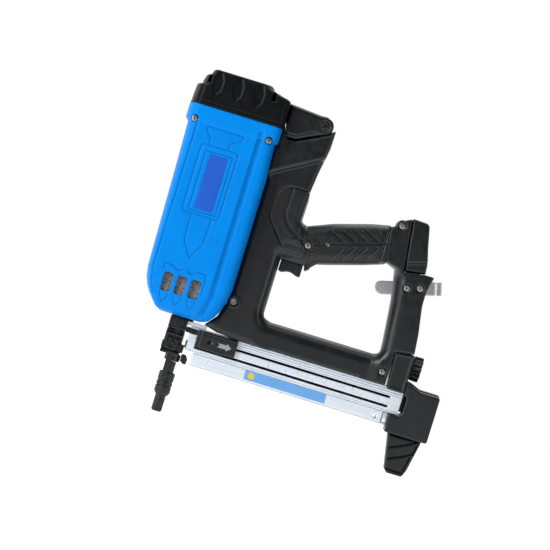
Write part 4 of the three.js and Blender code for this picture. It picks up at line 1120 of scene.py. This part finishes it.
def kept_nodes():
    """CAD nodes that stay in view get this file's materials."""
    for part in frame["record"]["subparts"]:
        node = frame["nodes"].get(part.get("node"))
        if node is None or node.hide_render:
            continue
        node.data.materials.clear()
        material = "aluminium" if part["node"] == "magazine_hanger" else part["material_slot"]
        node.data.materials.append(MATERIALS[material])


# ---------- stage ----------
CAMERA_DISTANCE = 3.6  # metres
CAMERA_ROLL = math.radians(17.05)
CAMERA_AIM = Vector((-0.037, 0, 0.1975))
NEAR_LENS = 60 / 1.1  # the lens in millimetres for each metre of distance


def stage():
    """A pale floor, soft light from above and the left, and the camera at the photograph's angle."""
    lowest = cad_bounds[0].z
    bpy.ops.mesh.primitive_plane_add(size=5, location=(0, 0, lowest))
    floor = bpy.context.object
    floor.name = "floor"
    look = Look("floor")
    look.colour(look.mix(look.spread(look.noise(2.0), 0, 1), (0.86, 0.86, 0.86), (0.9, 0.9, 0.9)))
    look.rough(look.spread(look.noise(30), 0.6, 0.75))
    look.bump(look.noise(500), 0.03)
    look.constant(Emission_Color=(1, 1, 1, 1), Emission_Strength=0.5)
    floor.data.materials.append(look.material)

    bpy.context.scene.view_settings.view_transform = "Standard"
    world = bpy.data.worlds.new("studio")
    world.use_nodes = True
    tree = world.node_tree
    direction = tree.nodes.new("ShaderNodeTexCoord")
    split = tree.nodes.new("ShaderNodeSeparateXYZ")
    falloff = tree.nodes.new("ShaderNodeMapRange")
    for key, value in {"From Min": 0.15, "From Max": 0.85, "To Min": 0.09, "To Max": 1.0}.items():
        falloff.inputs[key].default_value = value
    tree.links.new(direction.outputs["Generated"], split.inputs["Vector"])
    tree.links.new(split.outputs["Y"], falloff.inputs["Value"])
    seen = tree.nodes.new("ShaderNodeLightPath").outputs["Is Camera Ray"]
    brighter = tree.nodes.new("ShaderNodeMath")
    brighter.operation = "MAXIMUM"
    tree.links.new(falloff.outputs["Result"], brighter.inputs[0])
    tree.links.new(seen, brighter.inputs[1])
    tree.links.new(brighter.outputs["Value"], tree.nodes["Background"].inputs["Strength"])
    tree.nodes["Background"].inputs["Color"].default_value = (1, 1, 1, 1)
    bpy.context.scene.world = world
    for name, offset, size, power in (
        ("key", (-1.6, -1.5, 0.9), (0.6, 1.8), 52),
        ("top", (0.0, 0.6, 2.6), (3.0, 3.0), 80),
        ("fill", (1.6, -1.0, 0.3), (0.3, 1.2), 5),
    ):
        light = bpy.data.lights.new(name, "AREA")
        light.shape = "RECTANGLE"
        light.size, light.size_y = size
        light.energy = power
        lamp = bpy.data.objects.new(name, light)
        lamp.location = CAMERA_AIM + Vector(offset)
        lamp.rotation_euler = (-Vector(offset)).to_track_quat("-Z", "Y").to_euler()
        bpy.context.scene.collection.objects.link(lamp)

    lens = bpy.data.cameras.new("camera")
    lens.sensor_width = 36
    lens.lens = NEAR_LENS * CAMERA_DISTANCE
    camera = bpy.data.objects.new("camera", lens)
    right = Vector((math.cos(CAMERA_ROLL), 0, math.sin(CAMERA_ROLL)))
    up = Vector((-math.sin(CAMERA_ROLL), 0, math.cos(CAMERA_ROLL)))
    turn = Matrix((right, up, (0, -1, 0))).transposed().to_4x4()
    camera.matrix_world = Matrix.Translation(CAMERA_AIM + Vector((0, -CAMERA_DISTANCE, 0))) @ turn
    bpy.context.scene.collection.objects.link(camera)
    bpy.context.scene.camera = camera


cover_pieces()
cap_piece()
housing_shells()
grip_pads()
fuel_door()
trigger_piece()
battery_piece()
magazine_pieces()
pusher_piece()
rear_blocks()
foot_piece()
clamp_pieces()
nose_pieces()
probe_pieces()
probe_linkage()
belt_hook()
screws()
kept_nodes()
stage()
